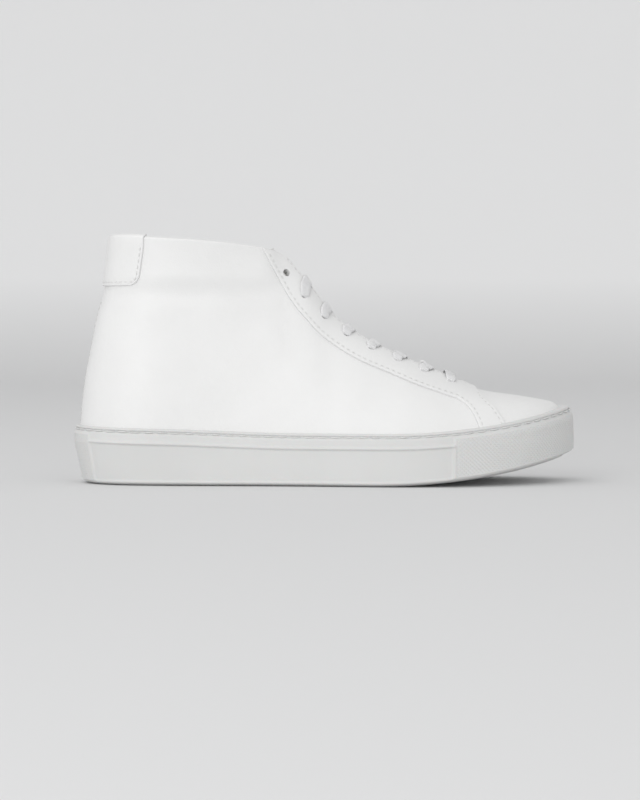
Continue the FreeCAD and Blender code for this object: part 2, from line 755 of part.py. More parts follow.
def lace_parts():
    """The lace, with an aglet at each end."""
    one, other = lace_half(LATERAL), lace_half(MEDIAL)
    bar = (one[0] + other[0]) * 0.5 + BAR_RISE
    path = list(reversed(one)) + [bar] + other
    length = sum(a.distanceToPoint(b) for a, b in zip(path, path[1:]))
    print("lace", round(length), "mm")
    parts = {"lace": tube(path, LACE_D / 2.0)}
    for name, end in (("aglet_a", path[:2]), ("aglet_b", [path[-1], path[-2]])):
        along = end[0] - end[1]
        along.normalize()
        start = end[0] + along * GLUE
        parts[name] = Part.makeCylinder(AGLET_R, AGLET, start, along)
    return parts


# ---------------------------------------------------------------- stitching
def stitches(points):
    """A row of stitches on a leather's face: short lengths of thread, evenly spaced."""
    solids = []
    left = STITCH_GAP
    for a, b in zip(points, points[1:]):
        run = b - a
        size = run.Length
        run.normalize()
        while left + STITCH < size:
            solids.append(Part.makeCylinder(THREAD / 2.0, STITCH, a + run * left, run))
            left += STITCH + STITCH_GAP
        left = max(left - size, 0.3)
    return solids


def seen_row(side, path, offset, guess, step=3.9):
    """Points on a face along a curve seen from the side."""
    curve = Part.BSplineCurve()
    curve.interpolate([V(x, 0, z) for x, z in path])
    count = int(curve.length() / step)
    points = []
    for p in curve.discretize(Number=count):
        guess = seen_at(side, p.x, p.z, offset, guess)
        points.append(at(side, guess[0], guess[1], offset))
    return points


def stitching_parts():
    over = GLUE + OVERLAY + THREAD / 2.0 + THREAD_CLEAR
    parts = {}
    for side, word in ((LATERAL, "lateral"), (MEDIAL, "medial")):
        low = seen_row(side, [(x + LOW_SEAM[0], z + LOW_SEAM[1]) for x, z in EYESTAY_LOWER[1:13]],
                       over, (5.0, 0.9))
        front = seen_row(side, [(x - FRONT_SEAM, z) for x, z in EYESTAY_FRONT[2:5]], over, (13.5, 0.7))
        edge = [at(side, s, throat_t(side, s, THROAT_SEAM), over) for s in steps(6.1, 12.3, 40)]
        rows = stitches(low) + stitches(front) + stitches(edge)
        parts["stitching_eyestay_" + word] = Part.makeCompound(rows)
    tab = []
    for side in (LATERAL, MEDIAL):
        tab += stitches(seen_row(side, HEEL_TAB_SEAM, over, (2.0, 0.95)))
    parts["stitching_heel_tab"] = Part.makeCompound(tab)
    return parts


def main():
    os.makedirs("parts", exist_ok=True)
    parts = {}
    parts.update(sole_parts())
    parts.update(backing_parts())
    parts.update(lining_parts())
    parts.update(tongue_parts())
    parts.update(lace_parts())
    parts.update(stitching_parts())
    parts["heel_tab"] = heel_tab()
    parts["toe_vamp"] = toe_vamp()
    for side, word in ((LATERAL, "lateral"), (MEDIAL, "medial")):
        parts["quarter_" + word] = quarter(side)
        parts["eyestay_" + word] = eyestay(side)
    for side, word in ((LATERAL, "lateral"), (MEDIAL, "medial")):
        punches = eyelet_punches(side)
        for name in ("quarter_" + word, "eyestay_" + word, "eyelet_tape_" + word, "quarter_lining"):
            parts[name] = parts[name].cut(punches)
    for name, shape in parts.items():
        print(name, shape.ShapeType, len(shape.Solids), round(shape.Volume), shape.isValid())
        shape.exportStep("parts/" + name + ".step")


main()
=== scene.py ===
"""White leather high top on a stitched rubber cupsole: its looks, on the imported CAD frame.

The upper is one smooth skin of ribs, the same as the CAD's. A place on it is (side, s, t): s is
the rib's station from the heel (0) to the toe (18), t runs up the rib from 0 to 1, and side is
-1 on the lateral side and +1 on the medial one. Sizes are in millimetres up to mesh_piece().
"""

import math

import bpy
import numpy as np
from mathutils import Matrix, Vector


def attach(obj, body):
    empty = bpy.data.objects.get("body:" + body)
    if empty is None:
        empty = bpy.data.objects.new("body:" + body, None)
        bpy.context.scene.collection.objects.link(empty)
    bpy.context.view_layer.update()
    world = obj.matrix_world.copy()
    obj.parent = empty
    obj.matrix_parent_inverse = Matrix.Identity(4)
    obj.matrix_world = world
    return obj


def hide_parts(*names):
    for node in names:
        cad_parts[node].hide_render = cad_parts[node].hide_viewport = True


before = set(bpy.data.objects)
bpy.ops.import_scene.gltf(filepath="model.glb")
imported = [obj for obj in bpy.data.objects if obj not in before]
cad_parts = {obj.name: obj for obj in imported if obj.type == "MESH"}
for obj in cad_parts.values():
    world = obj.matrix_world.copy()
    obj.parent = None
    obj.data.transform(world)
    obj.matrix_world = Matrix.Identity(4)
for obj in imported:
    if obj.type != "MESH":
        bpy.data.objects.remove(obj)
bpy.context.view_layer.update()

MM = 0.001
LATERAL, MEDIAL = -1, 1

# ---- the CAD's shape
LEATHER, OVERLAY, BACKING, LINING, GLUE = 1.4, 1.4, 1.1, 0.9, 0.06
MARGIN_DEPTH, MARGIN_INSET, FOOTBED_INSET, FOAM = 14.0, 3.7, 8.6, 3.0
TREAD_FLAT_TO, TOE_ARC = 25.0, 446.0
THROAT_HALF, EYELETS, EYELET_R, EYELET_BACK = 11.5, 8, 2.25, 7.5
LINING_IN = -LEATHER - BACKING - LINING - 2 * GLUE
TONGUE_UNDER, TONGUE_THICK = -6.85, 4.5
OUTLINE = [
    (-150, -2), (-141.5, -26), (-117, -39.5), (-82, -41), (-45, -42), (-8, -46),
    (28, -51.5), (62, -53), (95, -46.5), (123, -32), (143, -10), (150, 12),
    (144, 33), (122, 47), (90, 53), (55, 51.5), (20, 43.5), (-15, 36),
    (-50, 33), (-85, 34.5), (-118, 34.5), (-141.5, 20),
]
# Outline position lateral and medial, lower handle, top (x, half width, z), upper handle.
RIBS = [
    (0.00, 22.00, 0, 2.0, 42, -129.6, 0.0, 146.0, -3.4, 0, -46),
    (1.00, 21.00, 0, 2.0, 42, -124.5, 18.5, 146.0, -2.6, -2, -46),
    (2.00, 20.00, 0, 1.5, 40, -108.0, 30.0, 145.3, 0, -4, -44),
    (3.00, 18.93, 0, 0.5, 38, -84.0, 33.5, 144.0, 0, -5, -42),
    (3.75, 18.10, 0, 0.0, 37, -60.0, 32.0, 142.2, 2, -4, -40),
    (4.30, 17.55, 0, 0.0, 36, -39.0, 26.0, 139.6, 6, 1, -33),
    (4.65, 17.17, 0, 0.5, 35, -27.5, 18.5, 136.0, 5, 7, -24),
    (4.98, 16.83, 0, 1.0, 34, -14.5, 10.0, 125.5, 4, 15, -9),
    (5.30, 16.48, 0, 1.5, 32, -1.0, 3.0, 109.0, 2, 22, -3),
    (5.68, 16.12, 0, 2.0, 30, 14.0, 0.0, 94.3, 1, 28, -0.5),
    (6.15, 15.63, 0, 2.0, 28, 33.0, 0.0, 82.2, 0, 29, 0),
    (6.72, 15.07, 0, 2.5, 26, 53.0, 0.0, 73.2, 0, 27, 0),
    (7.32, 14.50, 0, 2.5, 24, 72.0, 0.0, 64.8, 0, 25, 0),
    (7.88, 13.97, 0, 2.5, 22, 88.0, 0.0, 57.0, 0, 27, 0),
    (8.38, 13.50, 0, 2.5, 20, 104.0, 0.0, 53.4, 0, 28, 0),
    (8.85, 13.10, 0, 2.0, 18, 119.0, 0.0, 51.4, 0, 27, 0),
    (9.28, 12.72, 2, 1.5, 15, 132.0, 0.0, 49.2, 0, 22, 0),
    (9.62, 12.43, 6, 1.0, 9, 141.0, 0.0, 45.0, 0, 15, -1),
    (9.90, 12.18, 11, 0.0, 1, 146.4, 0.0, 32.5, 0, 9, 0),
]
LAST = len(RIBS) - 1
EYESTAY_LOWER = [
    (-38.5, 142), (-28.5, 122.8), (-19.4, 107.5), (-11.3, 97.8), (-1.4, 87.5), (12.9, 77.4),
    (26.3, 70.6), (39.8, 65.0), (53.3, 59.5), (66.7, 54.8), (77.5, 51.2), (84, 46), (88.5, 38),
    (92, 28), (93, 21),
]
EYESTAY_FRONT = [(88.5, 58), (93.3, 50.7), (98.5, 46), (103, 40), (106, 33), (107.5, 21)]
HEEL_TAB_EDGE, HEEL_TAB_LOW, HEEL_TAB_CORNER = (-105.5, -109.5), 117.5, 6.0
TONGUE_LINE = [
    (98, 46.5), (86, 49.8), (69.8, 58.3), (50.7, 66.8), (30.3, 75.9), (10.8, 88.0), (-4.8, 102.9),
    (-16.5, 117.2), (-24.3, 129.0), (-29.4, 140.5),
]
TONGUE_HALF, CROWN_HALF = 28.0, 12.0
TAIL = [
    (7.6, 23.5), (8.4, 24.5), (9.1, 25.0), (9.8, 26.5), (10.2, 30.0), (9.8, 33.5),
    (9.1, 34.0), (8.5, 33.5), (7.9, 32.5),
]


# ---- curves
def spline(rows):
    """Function of s through evenly spaced rows of numbers: a natural cubic."""
    y = np.array(rows, float)
    n = len(y)
    matrix, right = np.eye(n), np.zeros_like(y)
    for i in range(1, n - 1):
        matrix[i, i - 1 : i + 2] = 1.0, 4.0, 1.0
        right[i] = 6.0 * (y[i + 1] - 2.0 * y[i] + y[i - 1])
    bend = np.linalg.solve(matrix, right)

    def at(s):
        s = np.asarray(s, float)
        i = np.clip(np.floor(s).astype(int), 0, n - 2)
        f = (s - i)[..., None]
        g = 1.0 - f
        return g * y[i] + f * y[i + 1] + ((g**3 - g) * bend[i] + (f**3 - f) * bend[i + 1]) / 6.0

    return at


def smooth(x):
    x = np.clip(x, 0.0, 1.0)
    return x * x * (3.0 - 2.0 * x)


def length(v):
    return np.linalg.norm(v, axis=-1)


def unit(v):
    return v / length(v)[..., None]


def run_along(path):
    """Distance along a path at each of its points."""
    return np.concatenate([[0.0], np.cumsum(length(np.diff(path, axis=0)))])


def at_run(where, run, values):
    """Rows of values at these distances along their run."""
    return np.stack([np.interp(where, run, column) for column in values.T], -1)


def bisect(low, high, is_low, turns=26):
    """Where is_low turns from true to false between two arrays of bounds."""
    for _ in range(turns):
        middle = (low + high) / 2.0
        yes = is_low(middle)
        low, high = np.where(yes, middle, low), np.where(yes, high, middle)
    return low


def newton(error, s, t, most_s, most_t):
    """One limited Newton step of (s, t) towards the place where both of error(s, t) are zero."""
    ds, dt = 0.01, 0.002
    (a, b), (a1, b1), (a2, b2) = error(s, t), error(s + ds, t), error(s, t + dt)
    j11, j21, j12, j22 = (a1 - a) / ds, (b1 - b) / ds, (a2 - a) / dt, (b2 - b) / dt
    det = j11 * j22 - j12 * j21
    det = np.where(np.abs(det) < 1.0, np.sign(det) + (det == 0), det)
    s = s - np.clip((a * j22 - b * j12) / det, -most_s, most_s)
    return s, t - np.clip((b * j11 - a * j21) / det, -most_t, most_t)


WRAP = 4
_outline = spline([OUTLINE[i % len(OUTLINE)] for i in range(-WRAP, len(OUTLINE) + WRAP)])


def outline(k, inset=0.0):
    k = np.asarray(k, float) + WRAP
    d = unit(_outline(k + 0.01) - _outline(k - 0.01))
    return _outline(k) + np.stack([-d[..., 1], d[..., 0]], -1) * np.asarray(inset, float)[..., None]


def centre_y(x):
    return 12.0 * smooth((x - 40.0) / 108.0) - 2.0 * smooth((-40.0 - x) / 70.0)


def lip_z(x):
    return 32.2 + 0.0011 * np.maximum(0.0, x - 35.0) ** 2 + 2.3 * (np.maximum(0.0, -x - 20.0) / 130.0) ** 2


def tread_z(x):
    return np.maximum(0.0, x - TREAD_FLAT_TO) ** 2 / (2.0 * TOE_ARC)


# ---- the skin of the upper
_rib = spline(RIBS)


def skin(side, s, t):
    side, s, t = np.broadcast_arrays(np.asarray(side, float), s, t)
    r = _rib(s)
    k = np.where(side < 0, r[..., 0], r[..., 1])
    foot2 = outline(k, np.full(k.shape, MARGIN_INSET))
    out = outline(k, np.full(k.shape, MARGIN_INSET - 1.0)) - foot2
    foot = np.concatenate([foot2, (lip_z(foot2[..., 0]) - MARGIN_DEPTH)[..., None]], -1)
    along, away, up = r[..., 2], r[..., 3], r[..., 4]
    low = foot + np.stack([
        along * out[..., 1] * side + away * out[..., 0],
        -along * out[..., 0] * side + away * out[..., 1],
        up,
    ], -1)
    top = np.stack([r[..., 5], centre_y(r[..., 5]) + side * r[..., 6], r[..., 7]], -1)
    high = top + np.stack([r[..., 8], side * r[..., 9], r[..., 10]], -1)
    t = t[..., None]
    q = 1.0 - t
    return foot * q**3 + low * (3 * q * q * t) + high * (3 * q * t * t) + top * t**3


def normal(side, s, t):
    side, s, t = np.broadcast_arrays(np.asarray(side, float), s, t)
    s, t = np.clip(s, 0.02, LAST - 0.06), np.clip(t, 0.02, 0.995)
    ds = skin(side, s + 0.01, t) - skin(side, s - 0.01, t)
    dt = skin(side, s, t + 0.004) - skin(side, s, t - 0.004)
    n = np.cross(ds, dt) * -side[..., None]
    flat = (s < 0.05) | ((t > 0.99) & (s > 9.0))
    n[..., 1] = np.where(flat, 0.0, n[..., 1])
    return unit(n)


def at(side, s, t, offset=0.0):
    offset = np.asarray(offset, float)
    return skin(side, s, t) + normal(side, s, t) * offset[..., None]


def half_width(side, s, t):
    p = skin(side, s, t)
    return side * (p[..., 1] - centre_y(p[..., 0]))


def t_at_width(side, s, width):
    s, width = np.broadcast_arrays(np.asarray(s, float), width)
    top = np.ones(s.shape)
    t = bisect(np.full(s.shape, 0.4), top, lambda t: half_width(side, s, t) > width)
    return np.where(half_width(side, s, top) >= width, 1.0, t)


def throat_t(side, s, back=0.0):
    s = np.asarray(s, float)
    t = t_at_width(side, s, THROAT_HALF + 3.5 * smooth((8.5 - s) / 2.5) + back)
    return np.where(s < 5.5, 1.0, t)


def seen_at(side, x, z, first, last, offset=0.0):
    """(s, t) of the skin's places seen at x, z from the side, between two stations."""
    s_grid, t_grid = np.meshgrid(np.linspace(first, last, 90), np.linspace(0.0, 0.999, 90))
    grid = at(side, s_grid, t_grid, offset)
    gap = (grid[..., 0].ravel() - x[:, None]) ** 2 + (grid[..., 2].ravel() - z[:, None]) ** 2
    near = np.argmin(gap, axis=1)
    s, t = s_grid.ravel()[near], t_grid.ravel()[near]
    offset = np.full(np.shape(x), offset)

    def error(s, t):
        p = at(side, s, t, offset)
        return p[..., 0] - x, p[..., 2] - z

    for _ in range(30):
        s, t = newton(error, s, t, 0.1, 0.03)
        s, t = np.clip(s, first, last), np.clip(t, 0.0, 0.9995)
    return s, t


# ---- leather that isn't perfectly flat
_rng = np.random.default_rng(7)
WAVES = []
for _ in range(9):
    heading = unit(_rng.normal(size=3)) * 2 * math.pi
    WAVES.append((heading / _rng.uniform(24, 60), _rng.uniform(0, 6.3)))


def relief(side, s, t):
    """How far the outer leather stands off its skin: slow waves, and the padded collar."""
    p = skin(side, s, t)
    wave = sum(np.sin(p @ k + phase) for k, phase in WAVES) * 0.055
    z = p[..., 2]
    behind = 1.0 - smooth((np.abs(s) - 0.8) / 1.8)
    collar = smooth((6.0 - np.abs(s)) / 1.2) * (1.0 - 0.8 * behind)
    puff = 1.0 * smooth((z - 115.0) / 9.0) - 0.8 * np.exp(-(((z - 112.0) / 5.0) ** 2))
    drawn = 1.35 * behind * smooth((z - 92.0) / 26.0)
    return wave * smooth((z - 30.0) / 12.0) + collar * puff - drawn


def padding(s, t):
    return FOAM * smooth((t - 0.72) / 0.14) * smooth((5.9 - np.abs(s)) / 1.3)


# ---- meshes
def mesh_piece(name, verts, quads, material, body="shoe", slot=None, nodes=(), uv=None):
    """Object from vertices in mm and quads; it rides on a body and stands for CAD nodes."""
    mesh = bpy.data.meshes.new(name)
    verts, quads = np.asarray(verts, float), np.asarray(quads, np.int32)
    mesh.vertices.add(len(verts))
    mesh.vertices.foreach_set("co", (verts * MM).astype(np.float32).ravel())
    mesh.loops.add(quads.size)
    mesh.loops.foreach_set("vertex_index", quads.ravel())
    mesh.polygons.add(len(quads))
    mesh.polygons.foreach_set("loop_start", np.arange(0, quads.size, quads.shape[1], dtype=np.int32))
    mesh.update(calc_edges=True)
    mesh.polygons.foreach_set("use_smooth", np.ones(len(quads), bool))
    if uv is not None:
        layer = mesh.uv_layers.new(name="UVMap")
        layer.data.foreach_set("uv", np.asarray(uv, np.float32)[quads.ravel()].ravel())
    mesh.validate()
    mesh.materials.append(material)
    piece = bpy.data.objects.new(name, mesh)
    bpy.context.collection.objects.link(piece)
    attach(piece, body)
    if nodes:
        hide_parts(*nodes)
    return piece


def grid_quads(nu, nv, start=0, closed=False):
    i = np.arange(nu if closed else nu - 1)
    j = np.arange(nv - 1)
    a = i[:, None] * nv + j
    b = ((i + 1) % nu)[:, None] * nv + j
    return np.stack([a, b, b + 1, a + 1], -1).reshape(-1, 4) + start


def ring_quads(rings, sides, start=0):
    """Quads between one ring of vertices and the next."""
    i = np.arange(rings - 1)[:, None] * sides + start
    j = np.arange(sides)
    nxt = (j + 1) % sides
    return np.stack([i + j, i + nxt, i + sides + nxt, i + sides + j], -1).reshape(-1, 4)


def cap_quads(sides, start, flip):
    """Quads that close a ring of an even number of vertices."""
    q = np.arange(1, sides - 1, 2)
    quads = np.stack([0 * q, q, q + 1, q + 2], -1) + start
    return quads[:, ::-1] if flip else quads


def rim_quads(nu, nv, start):
    """Quads that join the rims of two grids, the second one start vertices after the first."""
    index = np.arange(nu * nv).reshape(nu, nv)
    loop = np.concatenate([index[:-1, 0], index[-1, :-1], index[:0:-1, -1], index[0, :0:-1]])
    nxt = np.roll(loop, -1)
    return np.stack([nxt, loop, loop + start, nxt + start], -1)


def shell(name, outer, inner, material, **words):
    """Closed piece between an outer and an inner grid of points."""
    nu, nv = outer.shape[:2]
    quads = np.concatenate([
        grid_quads(nu, nv), grid_quads(nu, nv, nu * nv)[:, ::-1], rim_quads(nu, nv, nu * nv),
    ])
    i, j = nu // 2, nv // 2
    face = np.cross(outer[i + 1, j] - outer[i, j], outer[i, j + 1] - outer[i, j])
    if face @ (outer[i, j] - inner[i, j]) < 0:
        quads = quads[:, ::-1]
    verts = np.concatenate([outer.reshape(-1, 3), inner.reshape(-1, 3)])
    return mesh_piece(name, verts, quads, material, **words)


def spread(count, size, fine=(0.1, 0.25, 0.45, 0.7, 1.1, 1.6, 2.2, 3.0)):
    """Parameters from 0 to 1 over a width in mm, close together near both ends."""
    ends = np.array(fine) / size
    middle = np.linspace(4.0 / size, 1 - 4.0 / size, count)
    return np.concatenate([[0.0], ends, middle, 1 - ends[::-1], [1.0]])


def edge_distance(points, u0=True, u1=True, v0=True, v1=True):
    """Distance of each grid point from the grid's chosen edges, along the grid's lines."""
    du, dv = length(np.diff(points, axis=0)), length(np.diff(points, axis=1))
    cu = np.concatenate([np.zeros((1, points.shape[1])), np.cumsum(du, 0)])
    cv = np.concatenate([np.zeros((points.shape[0], 1)), np.cumsum(dv, 1)], 1)
    far = np.full(points.shape[:2], 1e3)
    for use, d in ((u0, cu), (u1, cu[-1:] - cu), (v0, cv), (v1, cv[:, -1:] - cv)):
        if use:
            far = np.minimum(far, d)
    return far


def rounded(distance, radius):
    """Drop of a rounded edge."""
    d = np.clip(distance, 0.0, radius)
    return radius - np.sqrt(np.maximum(0.0, radius**2 - (radius - d) ** 2))


def seam_dent(distance, line, deep=0.22, wide=0.8):
    """The furrow that a row of stitches pulls into leather."""
    return deep * np.exp(-(((distance - line) / wide) ** 2))


def tube(name, path, radii, material, normals=None, sides=14, power=2.0, **words):
    """Tube along a dense path. radii holds the half width and half thickness at each point."""
    path, radii = np.asarray(path, float), np.asarray(radii, float)
    along = unit(np.gradient(path, axis=0))
    if normals is None:
        normals = np.cross(along, [0.3, 0.5, 0.81])
    across = unit(np.cross(along, normals))
    up = np.cross(across, along)
    angles = np.linspace(0, 2 * math.pi, sides, endpoint=False)
    c, s = np.cos(angles), np.sin(angles)
    c, s = (np.sign(w) * np.abs(w) ** (2.0 / power) for w in (c, s))
    verts = (
        path[:, None] + across[:, None] * (c * radii[:, :1])[..., None]
        + up[:, None] * (s * radii[:, 1:])[..., None]
    )
    n = len(path)
    quads = [ring_quads(n, sides), cap_quads(sides, 0, True), cap_quads(sides, (n - 1) * sides, False)]
    run = run_along(path)
    uv = np.stack(np.broadcast_arrays(run[:, None], (c * radii[:, :1])), -1).reshape(-1, 2) * MM
    return mesh_piece(name, verts.reshape(-1, 3), np.concatenate(quads), material, uv=uv, **words)


# ---- materials
class Nodes:
    """Short hand for a material's node tree."""

    def __init__(self, name, colour, roughness, **sockets):
        self.material = bpy.data.materials.new(name)
        self.material.use_nodes = True
        self.tree = self.material.node_tree
        self.shader = self.tree.nodes["Principled BSDF"]
        self.shader.inputs["Base Color"].default_value = (*colour, 1.0)
        self.shader.inputs["Roughness"].default_value = roughness
        for socket, value in sockets.items():
            self.shader.inputs[socket.replace("_", " ")].default_value = value
        self.place = self.tree.nodes.new("ShaderNodeTexCoord")
        self.heights = []

    def node(self, kind, links=(), **values):
        node = self.tree.nodes.new("ShaderNode" + kind)
        for key, value in values.items():
            if hasattr(node, key):
                setattr(node, key, value)
            else:
                node.inputs[key.replace("_", " ")].default_value = value
        for socket, source in dict(links).items():
            self.tree.links.new(source, node.inputs[socket])
        return node

    def texture(self, kind, scale, **values):
        """Value of a texture in object space, where scale is in repeats per metre."""
        mapping = self.node("Mapping", {"Vector": self.place.outputs["Object"]})
        node = self.node(kind, {"Vector": mapping.outputs["Vector"]}, Scale=scale, **values)
        return node.outputs["Distance" if kind == "TexVoronoi" else "Fac"]

    def ramp(self, source, low, high):
        node = self.node("MapRange", {"Value": source})
        node.inputs["To Min"].default_value = low
        node.inputs["To Max"].default_value = high
        return node.outputs["Result"]

    def math(self, operation, a, b):
        node = self.node("Math", operation=operation)
        for index, value in enumerate((a, b)):
            if isinstance(value, (int, float)):
                node.inputs[index].default_value = value
            else:
                self.tree.links.new(value, node.inputs[index])
        return node.outputs[0]

    def tint(self, source, dark, light):
        mix = self.node("Mix", data_type="RGBA")
        self.tree.links.new(source, mix.inputs["Factor"])
        mix.inputs[6].default_value = (*dark, 1.0)
        mix.inputs[7].default_value = (*light, 1.0)
        self.tree.links.new(mix.outputs[2], self.shader.inputs["Base Color"])
        return self

    def rough(self, source, low, high):
        self.tree.links.new(self.ramp(source, low, high), self.shader.inputs["Roughness"])
        return self

    def bump(self, source, distance, strength=1.0):
        """Adds a height, with its depth in metres."""
        self.heights.append((source, distance, strength))
        return self

    def done(self):
        last = None
        for source, distance, strength in self.heights:
            node = self.node("Bump", {"Height": source}, Distance=distance, Strength=strength)
            if last is not None:
                self.tree.links.new(last, node.inputs["Normal"])
            last = node.outputs["Normal"]
        if last is not None:
            self.tree.links.new(last, self.shader.inputs["Normal"])
        return self.material


def leather(name, dark, light, roughness, grain=1.0):
    """Corrected full-grain leather: fine pebble, pores, and slow changes in tone and gloss."""
    m = Nodes(name, light, roughness, Specular_IOR_Level=0.45, Coat_Weight=0.06, Coat_Roughness=0.35)
    tone = m.texture("TexNoise", 42.0, Detail=4.0, Roughness=0.55)
    pebble = m.texture("TexVoronoi", 1050.0 / grain, feature="SMOOTH_F1", Smoothness=0.4)
    pores = m.texture("TexNoise", 2600.0 / grain, Detail=2.0, Roughness=0.6)
    gloss = m.texture("TexNoise", 160.0, Detail=3.0)
    m.tint(tone, dark, light)
    m.rough(gloss, roughness - 0.07, roughness + 0.09)
    m.bump(tone, 0.0006, 0.35)
    m.bump(pebble, 0.00016 * grain, 0.32)
    m.bump(pores, 0.00007, 0.30)
    return m.done()


HATCH = 0.314 / 0.0017  # bands of the wave texture, 1.7 mm apart


def rubber():
    """Moulded rubber; the knurl attribute holds where the sole is cross-hatched."""
    m = Nodes("sole_rubber", (0.70, 0.70, 0.69), 0.48, Specular_IOR_Level=0.42, Subsurface_Weight=0.04)
    m.shader.inputs["Subsurface Scale"].default_value = 0.004
    tone = m.texture("TexNoise", 30.0, Detail=3.0)
    skin_noise = m.texture("TexNoise", 1500.0, Detail=3.0)
    where = m.node("Attribute", attribute_name="knurl")
    hatch = []
    for turn in (0.82, -0.82):
        rotated = m.node("Mapping", {"Vector": m.place.outputs["UV"]})
        rotated.inputs["Rotation"].default_value = (0, 0, turn)
        wave = m.node("TexWave", {"Vector": rotated.outputs["Vector"]}, Scale=HATCH)
        wave.inputs["Distortion"].default_value = 0.0
        hatch.append(wave.outputs["Fac"])
    diamonds = m.math("MULTIPLY", m.math("MINIMUM", hatch[0], hatch[1]), where.outputs["Fac"])
    m.tint(tone, (0.665, 0.668, 0.66), (0.71, 0.712, 0.705))
    m.rough(tone, 0.42, 0.55)
    m.bump(skin_noise, 0.00006, 0.35)
    m.bump(diamonds, 0.0004, 0.5)
    return m.done()


def woven(name, dark, light, pitch, roughness=0.85):
    """Plain weave in object space."""
    m = Nodes(name, light, roughness, Sheen_Weight=0.25, Sheen_Roughness=0.5)
    x = m.texture("TexWave", 0.314 / pitch, bands_direction="X", Distortion=0.6)
    z = m.texture("TexWave", 0.314 / pitch, bands_direction="Z", Distortion=0.6)
    weave = m.math("MAXIMUM", x, z)
    tone = m.texture("TexNoise", 60.0, Detail=3.0)
    m.tint(tone, dark, light)
    m.rough(weave, roughness - 0.1, min(1.0, roughness + 0.08))
    m.bump(weave, 0.0003, 0.7)
    return m.done()


def lace_cotton():
    """Flat woven lace: two rows of slanting yarns that meet along its middle."""
    m = Nodes("lace_cotton", (0.86, 0.86, 0.86), 0.8, Sheen_Weight=0.35, Sheen_Roughness=0.4)
    parts = m.node("SeparateXYZ", {"Vector": m.place.outputs["UV"]})
    side = m.math("ABSOLUTE", parts.outputs["Y"], 0.0)
    slant = m.math("ADD", m.math("MULTIPLY", parts.outputs["X"], 7000.0), m.math("MULTIPLY", side, 5200.0))
    yarn = m.math("ADD", m.math("MULTIPLY", m.math("SINE", slant, 0.0), 0.5), 0.5)
    cross = m.math("SINE", m.math("MULTIPLY", side, 9000.0), 0.0)
    height = m.math("ADD", yarn, m.math("MULTIPLY", cross, 0.25))
    fuzz = m.texture("TexNoise", 4000.0, Detail=2.0)
    m.tint(yarn, (0.72, 0.72, 0.73), (0.90, 0.90, 0.90))
    m.rough(fuzz, 0.7, 0.95)
    m.bump(height, 0.00022, 0.8)
    m.bump(fuzz, 0.0001, 0.4)
    return m.done()


def thread_twist():
    m = Nodes("thread_twist", (0.86, 0.86, 0.85), 0.5, Sheen_Weight=0.2)
    parts = m.node("SeparateXYZ", {"Vector": m.place.outputs["UV"]})
    twist = m.math("SINE", m.math("ADD", m.math("MULTIPLY", parts.outputs["X"], 6500.0),
                                  m.math("MULTIPLY", parts.outputs["Y"], 9000.0)), 0.0)
    m.tint(m.ramp(twist, 0.0, 1.0), (0.74, 0.74, 0.73), (0.88, 0.88, 0.87))
    m.rough(m.ramp(twist, 0.0, 1.0), 0.42, 0.6)
    m.bump(twist, 0.0001, 0.7)
    return m.done()


def foam_cells(name, dark, light):
    m = Nodes(name, light, 0.9)
    cells = m.texture("TexVoronoi", 1400.0)
    m.tint(cells, dark, light)
    m.rough(cells, 0.8, 0.95)
    m.bump(cells, 0.0003, 0.6)
    return m.done()


def clear_film():
    m = Nodes("aglet_film", (0.84, 0.85, 0.86), 0.22, Coat_Weight=0.5)
    wrinkle = m.texture("TexNoise", 700.0, Detail=2.0)
    m.tint(wrinkle, (0.78, 0.79, 0.80), (0.88, 0.89, 0.9))
    m.rough(wrinkle, 0.15, 0.32)
    m.bump(wrinkle, 0.0001, 0.4)
    return m.done()


UPPER = leather("upper_leather", (0.800, 0.800, 0.795), (0.850, 0.850, 0.846), 0.46)
LINING_LEATHER = leather("lining_leather", (0.70, 0.69, 0.665), (0.76, 0.75, 0.725), 0.62, grain=0.8)
RUBBER = rubber()
LACE = lace_cotton()
THREAD = thread_twist()
TAPE = woven("cotton_tape", (0.70, 0.70, 0.69), (0.80, 0.80, 0.79), 0.0008)
BOARD = woven("insole_board", (0.42, 0.36, 0.27), (0.50, 0.44, 0.34), 0.0006)
FOAM_WHITE = foam_cells("open_foam", (0.62, 0.61, 0.56), (0.78, 0.77, 0.72))
STIFFENER = woven("stiffener", (0.55, 0.53, 0.48), (0.66, 0.64, 0.58), 0.0005)
FILM = clear_film()


# ---- sole
BEVEL_UP, BEVEL_IN = 2.1, 5.5  # the foot of the wall is cut back over this height and width
LIP_KEPT, LIP_SQUASH = 2.25, 0.5  # the lip's top, from this far below it up, is flattened
HEEL_SWELL, TOE_DRAW, TOE_FLANGE, HEEL_TAPER = 1.6, 1.8, 6.0, 5.5
GROOVE_IN, GROOVE_DOWN, TREAD_DEEP = 1.1, 3.3, 1.3
SOLE_STITCH = 6.5, 1.3, 0.95  # length, gap and thickness
FINE_STITCH = 2.7, 0.9, 0.62


def lip_seen(x):
    """Top of the rubber as it looks: the lip swells up a little round the heel."""
    return lip_z(x) + HEEL_SWELL * smooth((-10.0 - x) / 90.0)


def toe_round(x, inset, below):
    """Inset of the wall with its top drawn in round the toe."""
    extra = TOE_DRAW * smooth((x - 70.0) / 60.0) * (1.0 - smooth(-below / 9.0))
    return inset + extra * (1.0 - np.minimum(inset, 2.2) / 3.0)


def bump_up(x, centre, wide):
    return np.exp(-(((x - centre) / wide) ** 2))


